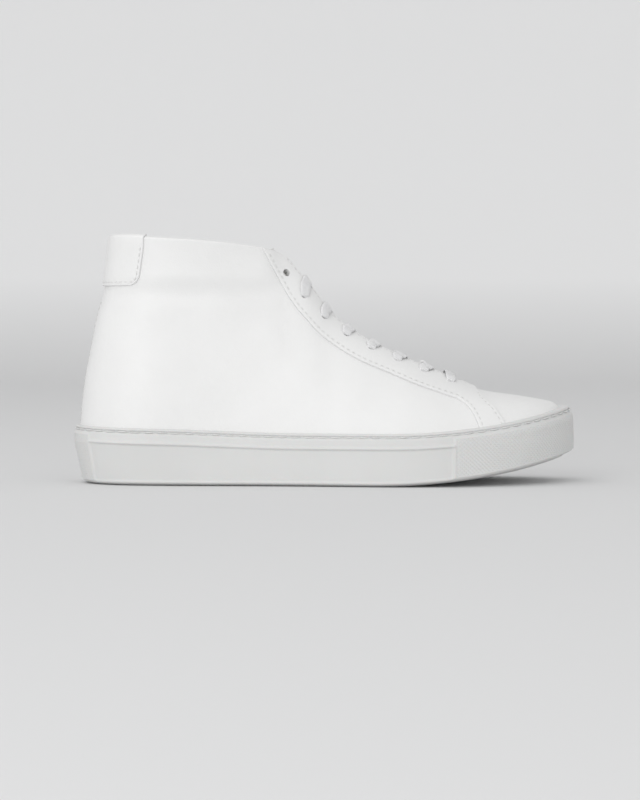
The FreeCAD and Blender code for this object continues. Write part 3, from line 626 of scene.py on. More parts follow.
def sole_profile():
    """Wall's profile from inside the cup over the lip and down: (inset, height below the lip)."""
    return np.array([
        (3.34, -15), (3.34, -8), (3.34, -3), (3.34, -1.2), (3.25, -0.6), (2.95, -0.2), (2.5, -0.02),
        (1.9, 0.0), (1.3, -0.08), (0.8, -0.32), (0.4, -0.75), (0.2, -1.3), (0.14, -1.9), (0.16, -2.25),
        (0.45, -2.62), (0.85, -2.85), (1.1, -3.15), (1.1, -3.45), (0.85, -3.75), (0.45, -3.95), (0.12, -4.2),
        (0.02, -4.6),
    ])


def leather_inset(edge):
    """How far in from each point of the outline the upper's skin crosses the level of the lip."""
    ring = []
    for side in (LATERAL, MEDIAL):
        s = np.linspace(0.02, LAST - 0.05, 500)

        def sunk(t):
            p = skin(side, s, t)
            return p[:, 2] < lip_seen(p[:, 0]) - 0.4

        t = bisect(np.zeros(s.shape), np.full(s.shape, 0.9), sunk, 24)
        ring.append(skin(side, s, t)[:, :2])
    ring = np.concatenate(ring)
    gap = np.hypot(edge[:, None, 0] - ring[None, :, 0], edge[:, None, 1] - ring[None, :, 1]).min(axis=1)
    return np.convolve(np.concatenate([gap[-20:], gap, gap[:20]]), np.full(41, 1 / 41.0), "valid")


def cupsole():
    """Cup with a stitch groove, a raised line round the wall, and cross-hatched toe and heel."""
    ks = np.linspace(0, 22, 1480, endpoint=False)
    edge = outline(ks)
    x = edge[:, 0]
    lip, tread = lip_seen(x), tread_z(x)
    top = sole_profile()
    inset = np.repeat(top[None, :, 0], len(ks), 0)
    reach = leather_inset(edge) + 0.5 + TOE_FLANGE * smooth((x - 60.0) / 40.0)
    inset[:, 3:7] = 2.2 + (inset[:, 3:7] - 2.2) * np.maximum(1.0, (reach - 2.2) / 1.14)[:, None]
    squat = np.maximum(top[:, 1] + LIP_KEPT, 0.0) * LIP_SQUASH
    z = lip[:, None] + np.where(top[:, 1] > -LIP_KEPT, squat - LIP_KEPT, top[:, 1])
    share = np.linspace(0, 1, 64)[1:]
    foot = tread + BEVEL_UP + 0.5
    start = lip - 4.6
    wall_z = start[:, None] + (foot - start)[:, None] * share
    below = wall_z - lip[:, None]
    toe = smooth((x - 74.2) / 1.6)[:, None]
    heel = smooth((-138.5 - x) / 1.6)[:, None]
    plain = (1 - toe) * (1 - heel)
    ridge = -0.85 * bump_up(below, -9.8, 0.75)
    panel = 0.55 * smooth((-10.3 - below) / 0.8) * smooth((wall_z - tread[:, None] - 2.2) / 1.2)
    bumper = -0.55 * smooth((-5.0 - below) / 0.9) * smooth((wall_z - tread[:, None] - 0.6) / 2.0)
    corner = -0.75 * bump_up(x, 75.0, 0.8)[:, None] * smooth((-9.2 - below) / 0.7)
    inset = np.concatenate([inset, plain * (ridge + panel) + (toe + heel) * bumper + corner], 1)
    z = np.concatenate([z, wall_z], 1)
    outside = np.arange(z.shape[1]) > 6
    inset = np.where(outside, toe_round(x[:, None], inset, z - lip[:, None]), inset)
    turn = np.linspace(0.0, 1.0, 9)
    low = np.stack([0.15 + BEVEL_IN * turn**1.6, BEVEL_UP * (1.0 - turn**0.8)], -1)
    inset = np.concatenate([inset, np.repeat(low[None, :, 0], len(ks), 0)], 1)
    z = np.concatenate([z, tread[:, None] + low[None, :, 1]], 1)
    taper = HEEL_TAPER * smooth((-60.0 - x) / 80.0)[:, None]
    lean = np.where(z < 25, 1.0 - 0.94 * (z + 1) / 26.0, np.maximum(0.0, 0.06 * (52 - z) / 27.0))
    extra = np.where(z < 25, 0.4 * (25 - z) / 26.0, 0.9 * (z - 25) / 27.0)
    inside = np.arange(z.shape[1]) < 4
    inset = inset + np.where(inside, 0.0, taper * lean + extra)
    xy = outline(ks[:, None], inset)
    wall = np.concatenate([xy, z[..., None]], -1)
    rim = wall[:, -1]
    share = np.linspace(0, 1, 58)[1:]
    middle = centre_y(rim[:, 0])
    across = rim[:, 1, None] + (middle - rim[:, 1])[:, None] * share
    bx = np.repeat(rim[:, :1], len(share), 1)
    inward = np.abs(across - rim[:, 1, None])
    end = np.minimum(145.0 - bx, bx + 140.0)
    room = smooth((np.minimum(inward, end) - 3.0) / 1.0)
    zigzag = bx + 4.0 * np.abs(((across - middle[:, None]) / 9.0) % 2.0 - 1.0)
    lug = smooth((np.abs((zigzag / 6.4) % 1.0 - 0.5) - 0.16) / 0.1)
    bz = tread_z(bx) + TREAD_DEEP * room * (1.0 - lug)
    bottom = np.stack([bx, across, bz], -1)
    points = np.concatenate([wall, bottom], 1)
    nu, nv = points.shape[:2]
    run = run_along(edge)
    uv = np.stack(np.broadcast_arrays(run[:, None], points[..., 2]), -1).reshape(-1, 2) * MM
    quads = grid_quads(nu, nv, closed=True)
    piece = mesh_piece("cupsole_body", points.reshape(-1, 3), quads, RUBBER,
                       slot="outsole_rubber", nodes=["cupsole"], uv=uv)
    fade = smooth((lip[:, None] - 5.6 - points[..., 2]) / 0.7)
    fade = fade * smooth((points[..., 2] - tread[:, None] - BEVEL_UP - 0.4) / 1.0)
    at_wall = np.arange(nv)[None, :] < wall.shape[1]
    mask = np.maximum(smooth((x - 76.0) / 0.8), smooth((-139.6 - x) / 0.8))[:, None] * fade * at_wall
    layer = piece.data.attributes.new("knurl", "FLOAT", "POINT")
    layer.data.foreach_set("value", mask.astype(np.float32).ravel())
    return piece


def stitch_run(name, path, normals, stitch, gap, thick, material, sink=0.0, **words):
    """Row of stitches along a path: each one is an arched length of thread with tapered ends."""
    run = run_along(path)
    count = max(1, int(run[-1] // (stitch + gap)))
    pitch = run[-1] / count
    verts, quads, uvs = [], [], []
    rows, sides = 7, 8
    angle = np.linspace(0, 2 * math.pi, sides, endpoint=False)
    share = np.linspace(-0.5, 0.5, rows)
    girth = np.sqrt(np.clip(1.0 - (np.abs(share) * 2.0) ** 3.5, 0.02, 1.0))
    for index in range(count):
        where = (index + 0.5) * pitch + share * stitch
        centre, up = at_run(where, run, path), unit(at_run(where, run, normals))
        along = unit(np.gradient(centre, axis=0))
        across = unit(np.cross(along, up))
        centre = centre + up * (thick * (0.28 - 0.9 * (np.abs(share) * 2.0) ** 4)[:, None] - sink)
        round_it = np.cos(angle)[:, None] * across[:, None] + np.sin(angle)[:, None] * up[:, None]
        ring = centre[:, None] + round_it * (girth * thick / 2)[:, None, None]
        start = index * rows * sides
        quads.append(ring_quads(rows, sides, start))
        for row, flip in ((0, True), (rows - 1, False)):
            cap = start + row * sides + np.array([[0, 1, 2, 3], [0, 3, 4, 7], [4, 5, 6, 7]])
            quads.append(cap[:, ::-1] if flip else cap)
        verts.append(ring.reshape(-1, 3))
        uv = np.stack(np.broadcast_arrays(where[:, None], (angle * thick / 2)[None, :]), -1)
        uvs.append(uv.reshape(-1, 2) * MM)
    return mesh_piece(name, np.concatenate(verts), np.concatenate(quads), material,
                      uv=np.concatenate(uvs), **words)


def sole_stitches():
    ks = np.linspace(0, 22, 900)
    x = outline(ks)[:, 0]
    inset = toe_round(x, np.full(ks.shape, GROOVE_IN), -GROOVE_DOWN)
    xy = outline(ks, inset)
    path = np.concatenate([xy, (lip_seen(x) - GROOVE_DOWN)[:, None]], 1)
    out = outline(ks, inset - 0.95) - xy
    normals = unit(np.concatenate([out, np.zeros((len(ks), 1))], 1))
    stitch_run("sole_stitches", path, normals, *SOLE_STITCH, THREAD, slot="thread",
               nodes=["stitching_sole"])


# ---- upper
def outer_at(side, s, t, offset=0.0):
    """Place on the outer leather as it looks, with its relief."""
    return at(side, s, t, np.asarray(offset, float) + relief(side, s, t))


def collar_roll(side, s, base, turns, lift):
    """Rows that roll over the topline, from the outer face, base above the skin, to the lining."""
    side, s = np.broadcast_arrays(np.asarray(side, float), s)
    t = np.where(s < 5.5, 1.0, throat_t(side, s))
    n = normal(side, s, t)
    up = unit(skin(side, s, t) - skin(side, s, t - 0.01))
    high = relief(side, s, t) + base
    low = LINING_IN - padding(s, np.ones(s.shape)) - base * 0.3
    middle, half = (high + low) / 2.0, (high - low) / 2.0
    rows = []
    for turn in turns:
        shift = middle + half * math.cos(turn)
        rows.append(skin(side, s, t) + n * shift[..., None] + up * (lift * math.sin(turn))[..., None])
    return np.stack(rows, 1)


def quarter(side, word):
    """Outer leather of one side; it rolls over the topline onto the lining."""
    v = np.concatenate([np.linspace(0, 0.9, 84), 0.9 + 0.1 * np.linspace(0, 1, 20)[1:]])
    u = spread(210, 240.0)
    seam = 13.12 - 0.5 * v
    s = 0.02 + (seam - 0.02) * u[:, None]
    t = np.where(s < 5.5, v, throat_t(side, s) * v)
    base = outer_at(side, s, t)
    back_edge = edge_distance(base, u1=False, v0=False, v1=False)
    drop = rounded(back_edge, 0.7) + seam_dent(back_edge, 2.4, 0.15)
    outer = outer_at(side, s, t, -drop)
    inner = at(side, s, t, relief(side, s, t) - LEATHER)
    lift = np.where(s[:, -1] < 5.2, 1.0, 1.0 - 0.4 * smooth((s[:, -1] - 5.2) / 0.7))
    turns = np.linspace(0, math.pi, 15)[1:]
    roll = collar_roll(side, s[:, -1], 0.0, turns, lift)
    roll_in = collar_roll(side, s[:, -1], -0.9, turns, lift - 0.4)
    flap, flap_in = [], []
    for down in (1.5, 3.5, 5.5, 7.0):
        tt = t[:, -1] - down / 118.0
        depth = LINING_IN - padding(s[:, -1], np.ones(s.shape[0]))
        flap.append(at(side, s[:, -1], tt, depth - 0.55))
        flap_in.append(at(side, s[:, -1], tt, depth + 0.3))
    outer = np.concatenate([outer, roll, np.stack(flap, 1)], 1)
    inner = np.concatenate([inner, roll_in, np.stack(flap_in, 1)], 1)
    piece = shell("quarter_leather_" + word, outer, inner, UPPER, slot="upper_leather",
                  nodes=["quarter_" + word])
    where = np.linspace(0.06, 1.0, 120)
    back = seam_path(side, np.full(120, 0.14), where * 0.72)
    stitch_run("back_seam_stitches_" + word, back[0], back[1], 2.5, 1.0, 0.6, THREAD, slot="thread")
    return piece


def seam_path(side, s, t, offset=0.0):
    """Path on the outer leather, with its normals."""
    return outer_at(side, s, t, offset), normal(side, s, t)


def over_grid(start, u, v):
    """(side, s, t) over the forefoot: v from 0 to 2 runs over the ridge, s from start(t)."""
    side = np.where(v <= 1.0, LATERAL, MEDIAL)
    t = np.where(v <= 1.0, v, 2.0 - v)
    s = start(t) + (LAST - start(t)) * u[:, None]
    return np.broadcast_arrays(side, s, t)


def toe_vamp():
    half = np.concatenate([np.linspace(0, 0.6, 36)[:-1], np.linspace(0.6, 1.0, 44)])
    v = np.concatenate([half, 2.0 - half[-2::-1]])
    side, s, t = over_grid(lambda t: 13.18 - 0.5 * t, np.linspace(0, 1, 90), v)
    shell("toe_leather", outer_at(side, s, t), at(side, s, t, relief(side, s, t) - LEATHER), UPPER,
          slot="upper_leather", nodes=["toe_vamp"])


def dense(points, count):
    """Points along a smooth curve through a few, evenly spaced in arc length."""
    curve = spline(points)(np.linspace(0, len(points) - 1, 1200))
    run = run_along(curve)
    return at_run(np.linspace(0, run[-1], count), run, curve)


def eyestay_strip(side):
    """(s, t) grid of the facing and saddle: from its lower edge (v 0) to its upper edge (v 1)."""
    low = dense([(-37.2, 138.6)] + EYESTAY_LOWER[1:11], 230)
    low2 = dense(EYESTAY_LOWER[10:], 60)
    s_low, t_low = seen_at(side, low[:, 0], low[:, 1], 4.8, 12.8)
    s_low2, t_low2 = seen_at(side, low2[:, 0], low2[:, 1], 12.0, 13.6)
    t_low[0] = 0.9995
    s_up = np.linspace(6.0, 12.95, 230)
    close = smooth((s_up - 12.35) / 0.5)
    t_up = throat_t(side, s_up)
    t_up = np.where(s_up < 6.05, 0.9995, t_up)
    t_up = t_up + (0.9995 - t_up) * close
    front = dense(EYESTAY_FRONT, 60)
    s_up2, t_up2 = seen_at(side, front[:, 0], front[:, 1], 12.7, 14.8)
    t_up2 = np.maximum(t_up2, 0.0)
    s_up2[0], t_up2[0] = s_up2[1] - 0.02, 0.9995
    ends = [np.concatenate(pair) for pair in ((s_low, s_low2[1:]), (t_low, t_low2[1:]),
                                             (s_up, s_up2[1:]), (t_up, t_up2[1:]))]
    v = spread(22, 22.0)
    s = ends[0][:, None] + (ends[2] - ends[0])[:, None] * v
    t = ends[1][:, None] + (ends[3] - ends[1])[:, None] * v
    return s, t


def row_at(grid_s, grid_t, points, distance, from_high):
    """(s, t) of the line that runs this far from a strip's edge."""
    steps = length(np.diff(points, axis=1))
    if from_high:
        steps, grid_s, grid_t = steps[:, ::-1], grid_s[:, ::-1], grid_t[:, ::-1]
    run = np.concatenate([np.zeros((len(steps), 1)), np.cumsum(steps, 1)], 1)
    s = np.array([np.interp(distance, r, row) for r, row in zip(run, grid_s)])
    t = np.array([np.interp(distance, r, row) for r, row in zip(run, grid_t)])
    return s, t


def punch(piece, side):
    """Cuts the eyelet holes through a piece."""
    verts, quads = [], []
    sides = 28
    angle = np.linspace(0, 2 * math.pi, sides, endpoint=False)
    for s, t in eyelets(side):
        n = normal(side, s, t)
        across = unit(np.cross(n, [0.0, 0.0, 1.0]))
        up = np.cross(n, across)
        centre = at(side, s, t)
        ring = (across * np.cos(angle)[:, None] + up * np.sin(angle)[:, None]) * EYELET_R
        start = len(verts) * sides
        verts += [centre - n * 7 + ring, centre + n * 6 + ring]
        quads += [ring_quads(2, sides, start), cap_quads(sides, start, True),
                  cap_quads(sides, start + sides, False)]
    mesh = bpy.data.meshes.new("punch")
    mesh.from_pydata(np.concatenate(verts) * MM, [], np.concatenate(quads).tolist())
    tool = bpy.data.objects.new("punch", mesh)
    bpy.context.collection.objects.link(tool)
    cut = piece.modifiers.new("punch", "BOOLEAN")
    cut.operation, cut.object, cut.solver = "DIFFERENCE", tool, "EXACT"
    depsgraph = bpy.context.evaluated_depsgraph_get()
    result = bpy.data.meshes.new_from_object(piece.evaluated_get(depsgraph))
    piece.modifiers.clear()
    piece.data = result
    bpy.data.objects.remove(tool)


def eyelets(side):
    """(s, t) of the eyelets, evenly spaced along the facing, from the top one down."""
    s = np.linspace(6.2, 12.1, 240)
    t = throat_t(side, s, EYELET_BACK - 2.0 * smooth(7.2 - s))
    run = run_along(at(side, s, t))
    where = np.linspace(0, run[-1], EYELETS)
    return list(zip(np.interp(where, run, s), np.interp(where, run, t)))


def eyestay(side, word):
    s, t = eyestay_strip(side)
    base = outer_at(side, s, t, GLUE + OVERLAY)
    edge = edge_distance(base, u0=False, u1=False)
    top_edge = edge_distance(base, u0=False, u1=False, v0=False)
    low_edge = edge_distance(base, u0=False, u1=False, v1=False)
    drop = rounded(edge, 0.5) + seam_dent(low_edge, 2.1, 0.12) + seam_dent(top_edge, 2.3, 0.12)
    outer = outer_at(side, s, t, GLUE + OVERLAY - drop)
    inner = at(side, s, t, relief(side, s, t) + GLUE - 0.3)
    piece = shell("eyestay_leather_" + word, outer, inner, UPPER, slot="upper_leather",
                  nodes=["eyestay_" + word])
    punch(piece, side)
    face = GLUE + OVERLAY - 0.15
    throat = slice(12, 205)
    rows = {
        "lower": (row_at(s, t, base, 2.1, False), slice(4, -12)),
        "throat": (row_at(s, t, base, 2.3, True), throat),
        "front": (row_at(s, t, base, 2.3, True), slice(236, -10)),
    }
    for index, (row, ((rs, rt), part)) in enumerate(rows.items()):
        path, normals = seam_path(side, rs[part], rt[part], face)
        stitch_run("eyestay_stitches_%s_%s" % (row, word), path, normals, *FINE_STITCH, THREAD,
                   slot="thread", nodes=["stitching_eyestay_" + word] if index == 0 else ())


def t_at_z(side, s, z):
    return bisect(np.zeros(np.shape(s)), np.ones(np.shape(s)), lambda t: skin(side, s, t)[..., 2] < z)


def heel_tab():
    """Patch round the back of the collar; it rolls over the topline."""
    top = 144.6
    v = spread(26, 28.0)[:-9]
    z = HEEL_TAB_LOW + (top - HEEL_TAB_LOW) * v
    edge_x = np.interp(z, [HEEL_TAB_LOW, top], [HEEL_TAB_EDGE[1], HEEL_TAB_EDGE[0]])
    r = HEEL_TAB_CORNER
    near = np.clip(HEEL_TAB_LOW + r - z, 0.0, r)
    edge_x = edge_x - (r - np.sqrt(r * r - near**2))
    reach = [seen_at(side, edge_x, z, 0.6, 3.2)[0] for side in (LATERAL, MEDIAL)]
    u = spread(90, 60.0) * 2.0 - 1.0
    side = np.where(u < 0, MEDIAL, LATERAL)[:, None]
    s = np.where(side < 0, np.abs(u)[:, None] * reach[0], np.abs(u)[:, None] * reach[1])
    side, s = np.broadcast_arrays(side, s)
    t = t_at_z(side, s, np.broadcast_to(z, s.shape))
    base = outer_at(side, s, t, GLUE + OVERLAY)
    edge = edge_distance(base, v1=False)
    drop = rounded(edge, 0.75) + seam_dent(edge, 2.0, 0.2)
    outer = outer_at(side, s, t, GLUE + OVERLAY - drop)
    inner = outer_at(side, s, t, GLUE - 0.3)
    turns = np.linspace(0, 0.62 * math.pi, 10)
    over = collar_roll(side[:, -1], s[:, -1], GLUE + OVERLAY, turns, np.full(len(u), 2.1))
    under = collar_roll(side[:, -1], s[:, -1], GLUE, turns, np.full(len(u), 1.1))
    out = normal(side[:, -1], s[:, -1], t[:, -1])[:, None]
    over = over - rounded(edge[:, -1], 0.75)[:, None, None] * out
    shell("heel_tab_leather", np.concatenate([outer, over], 1), np.concatenate([inner, under], 1), UPPER,
          slot="upper_leather", nodes=["heel_tab"])
    rows, cols = s.shape
    inset = 2.0
    j_low = int(np.argmin(np.abs(z - HEEL_TAB_LOW - inset)))
    run = edge_distance(base, u1=False, v0=False, v1=False)

    def row_near(j, distance):
        return int(np.argmin(np.abs(run[: rows // 2, j] - distance)))

    first = row_near(j_low, inset + 1.0)
    places = [(row_near(j, inset), j) for j in range(cols - 1, j_low - 1, -1)]
    places += [(i, j_low) for i in range(first, rows - first)]
    places += [(rows - 1 - row_near(j, inset), j) for j in range(j_low, cols)]
    i, j = np.array(places).T
    path, normals = seam_path(side[i, j], s[i, j], t[i, j], GLUE + OVERLAY - 0.15)
    stitch_run("heel_tab_stitches", path, normals, *FINE_STITCH, THREAD, slot="thread",
               nodes=["stitching_heel_tab"])


def linings():
    """Inner faces: the padded quarter lining and the vamp lining."""
    u = np.linspace(-12.5, 12.5, 260)
    v = np.linspace(0.0, 0.988, 80)
    side = np.where(u < 0, MEDIAL, LATERAL)[:, None]
    s = np.abs(u)[:, None]
    t = np.where(s < 5.5, 1.0, throat_t(side, s)) * v
    side, s, t = np.broadcast_arrays(side, s, t)
    pad = padding(s, t)
    lining = shell("quarter_lining_leather", at(side, s, t, LINING_IN + LINING - pad),
                   at(side, s, t, LINING_IN - pad), LINING_LEATHER, slot="lining_leather",
                   nodes=["quarter_lining"])
    punch(lining, LATERAL)
    punch(lining, MEDIAL)
    side, s, t = over_grid(lambda t: 12.6 + 0 * t, np.linspace(0, 1, 50), np.linspace(0, 2, 80))
    shell("vamp_lining_textile", at(side, s, t, LINING_IN + LINING), at(side, s, t, LINING_IN),
          LINING_LEATHER, slot="lining_leather", nodes=["vamp_lining"])


def footbed():
    """Top cover of the footbed, cupped up a little round the heel."""
    ks = np.linspace(0, 22, 360, endpoint=False)
    rim = outline(ks, np.full(ks.shape, FOOTBED_INSET))
    share = np.concatenate([[0.0, 0.01, 0.03, 0.06], np.linspace(0.1, 1.0, 26)])
    middle = centre_y(rim[:, 0])
    y = rim[:, 1, None] + (middle - rim[:, 1])[:, None] * share
    x = np.repeat(rim[:, :1], len(share), 1)
    base = lip_z(x) - MARGIN_DEPTH - GLUE + 4.65
    inward = np.abs(y - rim[:, 1, None])
    cup = 2.6 * (1 - smooth(inward / 13.0)) * smooth((-20.0 - x) / 60.0)
    edge = rounded(inward, 0.7)
    top = np.stack([x, y, base + 1.25 + cup - edge], -1)
    low = np.stack([x, y, base + cup * 0.95], -1)
    nu, nv = top.shape[:2]
    quads = [grid_quads(nu, nv, closed=True), grid_quads(nu, nv, nu * nv, closed=True)[:, ::-1]]
    i = np.arange(nu) * nv
    j = (np.arange(nu) + 1) % nu * nv
    quads.append(np.stack([i, j, j + nu * nv, i + nu * nv], -1))
    quads = np.concatenate(quads)[:, ::-1]
    points = np.concatenate([top.reshape(-1, 3), low.reshape(-1, 3)])
    mesh_piece("footbed_top", points, quads, LINING_LEATHER,
               slot="lining_leather", nodes=["footbed_cover"])


# ---- tongue
def under_eyestay(side, crown, along, s, t, measure):
    """(s, t) of the tongue's face in the plane across its line, where measure(point) is zero."""
    def error(s, t):
        p = at(side, s, t, TONGUE_UNDER)
        return measure(p), ((p - crown) * along).sum(-1)

    for _ in range(12):
        s, t = newton(error, s, t, 0.4, 0.06)
    return s, t


def tongue_face(rows=72, across=15):
    """Points of the tongue's outer face: rows from its base to its top, each from side to side."""
    q = np.linspace(0, len(TONGUE_LINE) - 1, rows)
    line = spline(TONGUE_LINE)
    xz, d = line(q), line(q + 0.02) - line(q - 0.02)
    along = unit(np.stack([d[:, 0], 0 * q, d[:, 1]], -1))
    out = np.stack([along[:, 2], 0 * q, -along[:, 0]], -1)
    crown = np.stack([xz[:, 0], centre_y(xz[:, 0]), xz[:, 1]], -1)
    reach = TONGUE_HALF * (0.68 + 0.32 * smooth(q / 4.0))
    step = (reach - CROWN_HALF) / (across - 1.0)
    halves = []
    for side in (LATERAL, MEDIAL):
        def off_arch(p):
            return side * (p[..., 1] - centre_y(p[..., 0])) - CROWN_HALF
        s, t = np.empty(rows), np.empty(rows)
        guess = np.array([13.4]), np.array([0.82])
        for i in range(rows):
            guess = under_eyestay(side, crown[i : i + 1], along[i : i + 1], *guess, off_arch)
            s[i], t[i] = guess[0][0], guess[1][0]
        s0, t0 = s, t + 0.02
        points = [at(side, s, t, TONGUE_UNDER)]
        for _ in range(across - 1):
            last = points[-1]
            s1, t1 = under_eyestay(side, crown, along, 2 * s - s0, 2 * t - t0,
                                   lambda p: length(p - last) - step)
            s0, t0, s, t = s, t, s1, t1
            points.append(at(side, s, t, TONGUE_UNDER))
        fall = ((crown - points[0]) * out).sum(-1)
        arch = []
        for share in np.linspace(0, 1, 9)[1:-1]:
            sideways = np.array([0, side * CROWN_HALF * share, 0])
            arch.append(crown + sideways - out * (fall * share**2)[:, None])
        halves.append(arch + points)
    grid = halves[0][::-1] + [crown] + halves[1]
    return np.stack(grid, 1)


def face_normals(grid):
    n = unit(np.cross(np.gradient(grid, axis=0), np.gradient(grid, axis=1)))
    return n * np.sign(n[..., 2:])


def tongue():
    """Padded tongue: leather face over foam, and a lining, sewn together round a flat edge."""
    face = tongue_face()
    n = face_normals(face)
    edge = edge_distance(face, u0=False)
    full = smooth((edge - 2.5) / 6.0)
    outer_drop = rounded(edge, 0.8) + 0.9 * (1 - full) + seam_dent(edge, 3.0, 0.25)
    inner_depth = TONGUE_THICK - 2.3 * (1 - full) - rounded(edge, 0.8)
    split = TONGUE_THICK - 2.35 + 0 * edge
    outer = face - n * outer_drop[..., None]
    middle = face - n * split[..., None]
    inner = face - n * inner_depth[..., None]
    one = shell("tongue_face", outer, middle, UPPER, body="tongue", slot="upper_leather",
                nodes=["tongue_leather", "tongue_foam"])
    two = shell("tongue_back", inner, middle, LINING_LEATHER, body="tongue", slot="lining_leather",
                nodes=["tongue_lining"])
    return face, n


# ---- lace
def lace_half(side):
    """Knots of the lace from the end of the bar on this side to its tucked end.

    Each knot is (point, facing, half width, half thickness). The lace goes into every eyelet
    from above, on under that eyestay's edge, and over the edge of the other one.
    """
    rows = {LATERAL: eyelets(LATERAL), MEDIAL: eyelets(MEDIAL)}
    knots = []

    def add(where, s, back, offset, wide, thick):
        t = throat_t(where, s, back)
        place = at(where, s, t, offset + float(relief(where, s, t)))
        knots.append((place, normal(where, s, t), wide, thick))

    def row_back(s):
        return EYELET_BACK - 2.0 * float(smooth(7.2 - s))

    s0 = rows[side][-1][0]
    add(side, s0, 0.6, 2.5, LACE_HALF, LACE_THICK / 2)
    add(side, s0, row_back(s0) - 4.0, 2.45, LACE_HALF, LACE_THICK / 2)
    for i in range(EYELETS - 1, 0, -1):
        s0 = rows[side][i][0]
        back0 = row_back(s0)
        add(side, s0, back0 - 1.7, 2.6, 3.3, 0.8)
        add(side, s0, back0 + 0.1, 1.5, 2.6, 1.1)
        add(side, s0, back0, -1.2, 1.9, 1.25)
        add(side, s0, back0, -4.5, 2.6, 0.9)
        if i == 1:
            break
        s1 = rows[-side][i - 1][0]
        back1 = row_back(s1)
        near, far = s0 + (s1 - s0) * 0.17, s1 + (s0 - s1) * 0.17
        add(side, s0 + (s1 - s0) * 0.08, back0 - 3.0, -4.8, 3.0, LACE_THICK / 2)
        add(side, near, 0.9, -4.5, LACE_HALF, LACE_THICK / 2)
        low = knots[-1]
        t_far = throat_t(-side, far, 0.9)
        high = at(-side, far, t_far, 2.6)
        out = unit(low[1] + normal(-side, far, t_far))
        lift = LACE_LIFT if side == LATERAL else LACE_LIFT - LACE_THICK - 0.15
        for share in (0.35, 0.65):
            knots.append((low[0] + (high - low[0]) * share + out * lift, out, LACE_HALF, LACE_THICK / 2))
        side = -side
        add(side, far, 0.9, 2.6, LACE_HALF, LACE_THICK / 2)
        add(side, s1 + (s0 - s1) * 0.08, back1 - 4.0, 2.45, LACE_HALF, LACE_THICK / 2)
    for s, width in spline(TAIL)(np.linspace(0, len(TAIL) - 1, 22)):
        t = t_at_width(side, s, width)
        deep = -5.2 if width < TONGUE_HALF else -5.6
        knots.append((at(side, s, t, deep), normal(side, s, t), 2.7, 0.7))
    return knots


LACE_THICK, LACE_HALF, LACE_LIFT = 1.3, 3.5, 0.9


def lace():
    """Flat cotton lace: a bar across the lowest eyelets, criss-cross above, both ends tucked in."""
    one, other = lace_half(LATERAL), lace_half(MEDIAL)
    middle = (one[0][0] + other[0][0]) / 2.0 + np.array([0.3, 0, 0.9])
    facing = unit(one[0][1] + other[0][1])
    knots = one[::-1] + [(middle, facing, LACE_HALF, LACE_THICK / 2)] + other
    rows = np.array([[*p, *n, w, h] for p, n, w, h in knots])
    gaps = length(np.diff(rows[:, :3], axis=0)) ** 0.5
    knot_at = np.concatenate([[0.0], np.cumsum(gaps)])
    where = np.linspace(0, knot_at[-1], 2600)
    values = hermite(knot_at, rows, where)
    path, facing, radii = values[:, :3], unit(values[:, 3:6]), values[:, 6:8]
    tube("lace_band", path, radii, LACE, normals=facing, sides=18, power=3.2,
         slot="lace_cotton", nodes=["lace"])


def hermite(x, y, where):
    """Smooth interpolation through uneven knots, with the slopes of a Catmull-Rom curve."""
    slope = np.gradient(y, x, axis=0)
    i = np.clip(np.searchsorted(x, where) - 1, 0, len(x) - 2)
    h = (x[i + 1] - x[i])[:, None]
    f = ((where - x[i])[:, None]) / h
    return (
        (2 * f**3 - 3 * f**2 + 1) * y[i] + (f**3 - 2 * f**2 + f) * h * slope[i]
        + (3 * f**2 - 2 * f**3) * y[i + 1] + (f**3 - f**2) * h * slope[i + 1]
    )


# ---- what the CAD shows as it is
def repaint(names, material):
    for name in names:
        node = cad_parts[name]
        for slot in node.material_slots:
            slot.link = "DATA"
            slot.material = material


# ---- studio
LENS, CAMERA_AT, CAMERA_TILT = 112.5, (-0.003, -1.5, 0.1015), 88.0
# Painted light: the paper's colour is painted darker on the floor and lighter up the backdrop. This stands
# in for how the light falls there, not for a colour of the paper.
PAPER_SHADED_LOW, PAPER_LIT_HIGH = (0.72, 0.722, 0.725, 1), (0.95, 0.952, 0.955, 1)
PAPER_PAINTED_LIGHT_RISE, AIR = 0.16, 0.72  # height over which the paper gets lighter; strength of the world
PAPER_HALF, PAPER_BEND, PAPER_BACK = 7.0, 1.5, 2.0
LAMPS = (  # name, place, size, power
    ("front_box", (-0.9, -2.2, 0.75), 1.5, 20.0),
    ("low_box", (0.9, -2.2, 0.35), 1.0, 1.5),
    ("top_box", (-0.5, -0.1, 1.8), 1.2, 3.0),
)


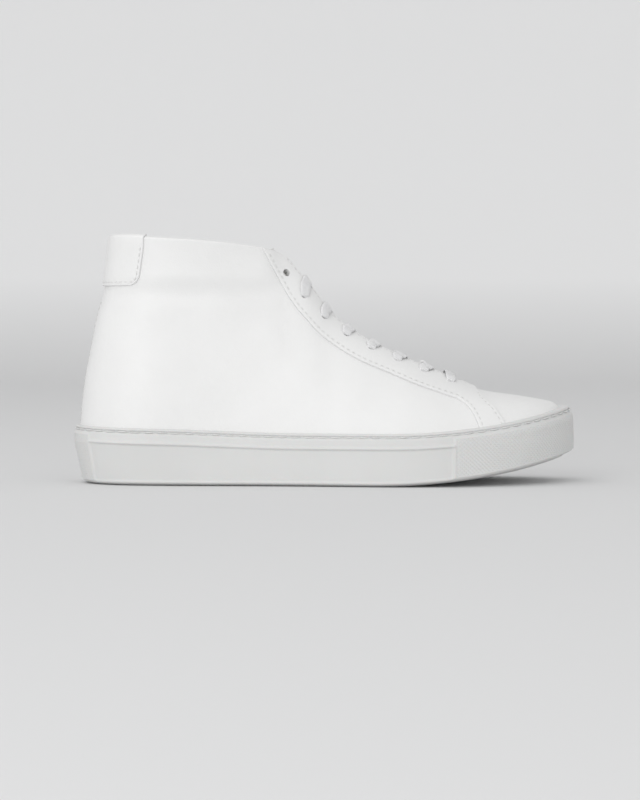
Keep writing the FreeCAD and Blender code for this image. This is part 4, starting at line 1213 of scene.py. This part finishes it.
def studio():
    floor = bpy.data.materials.new("studio_paper")
    floor.use_nodes = True
    shader = floor.node_tree.nodes["Principled BSDF"]
    shader.inputs["Roughness"].default_value = 0.95
    nodes, links = floor.node_tree.nodes, floor.node_tree.links
    place = nodes.new("ShaderNodeNewGeometry")
    split = nodes.new("ShaderNodeSeparateXYZ")
    # Painted light: the paper's base colour is mixed by height, from a darker grey low down to a lighter one
    # higher up.
    fade = nodes.new("ShaderNodeMapRange")
    fade.inputs["From Max"].default_value = PAPER_PAINTED_LIGHT_RISE
    paper = nodes.new("ShaderNodeMix")
    paper.data_type = "RGBA"
    paper.inputs[6].default_value = PAPER_SHADED_LOW
    paper.inputs[7].default_value = PAPER_LIT_HIGH
    links.new(place.outputs["Position"], split.inputs[0])
    links.new(split.outputs["Z"], fade.inputs["Value"])
    links.new(fade.outputs[0], paper.inputs["Factor"])
    links.new(paper.outputs[2], shader.inputs["Base Color"])
    bend = [(PAPER_BACK + math.sin(a) * PAPER_BEND, PAPER_BEND - math.cos(a) * PAPER_BEND)
            for a in np.linspace(0.1, math.pi / 2, 12)]
    line = [(-6.0, 0.0), (PAPER_BACK, 0.0)] + bend + [(PAPER_BACK + PAPER_BEND, 7.0)]
    verts = [(x, y, z) for y, z in line for x in (-PAPER_HALF, PAPER_HALF)]
    mesh = bpy.data.meshes.new("paper_sweep")
    mesh.from_pydata(verts, [], [(2 * i, 2 * i + 1, 2 * i + 3, 2 * i + 2) for i in range(len(line) - 1)])
    mesh.polygons.foreach_set("use_smooth", [True] * len(mesh.polygons))
    mesh.materials.append(floor)
    sweep = bpy.data.objects.new("paper_sweep", mesh)
    bpy.context.collection.objects.link(sweep)
    world = bpy.data.worlds.new("studio_air")
    world.use_nodes = True
    world.node_tree.nodes["Background"].inputs["Color"].default_value = (1.0, 1.0, 1.0, 1.0)
    world.node_tree.nodes["Background"].inputs["Strength"].default_value = AIR
    bpy.context.scene.world = world
    for name, place, size, power in LAMPS:
        lamp = bpy.data.lights.new(name, "AREA")
        lamp.shape, lamp.size, lamp.energy = "SQUARE", size, power
        box = bpy.data.objects.new(name, lamp)
        box.location = place
        aim = Vector((0.0, 0.0, 0.05)) - Vector(place)
        box.rotation_euler = aim.to_track_quat("-Z", "Y").to_euler()
        bpy.context.collection.objects.link(box)
    bpy.context.scene.view_settings.view_transform = "Standard"


def camera():
    lens = bpy.data.cameras.new("camera")
    lens.lens = LENS
    cam = bpy.data.objects.new("camera", lens)
    cam.location = CAMERA_AT
    cam.rotation_euler = (math.radians(CAMERA_TILT), 0.0, 0.0)
    bpy.context.collection.objects.link(cam)
    bpy.context.scene.camera = cam


camera()
studio()
cupsole()
sole_stitches()
for side, word in ((LATERAL, "lateral"), (MEDIAL, "medial")):
    punch(quarter(side, word), side)
    eyestay(side, word)
toe_vamp()
heel_tab()
linings()
footbed()
tongue()
lace()
repaint(["midsole_insert", "footbed_foam", "collar_foam"], FOAM_WHITE)
repaint(["insole_board"], BOARD)
repaint(["heel_counter", "toe_puff"], STIFFENER)
repaint(["eyelet_tape_lateral", "eyelet_tape_medial", "interlining_lateral", "interlining_medial"], TAPE)
repaint(["aglet_a", "aglet_b"], FILM)
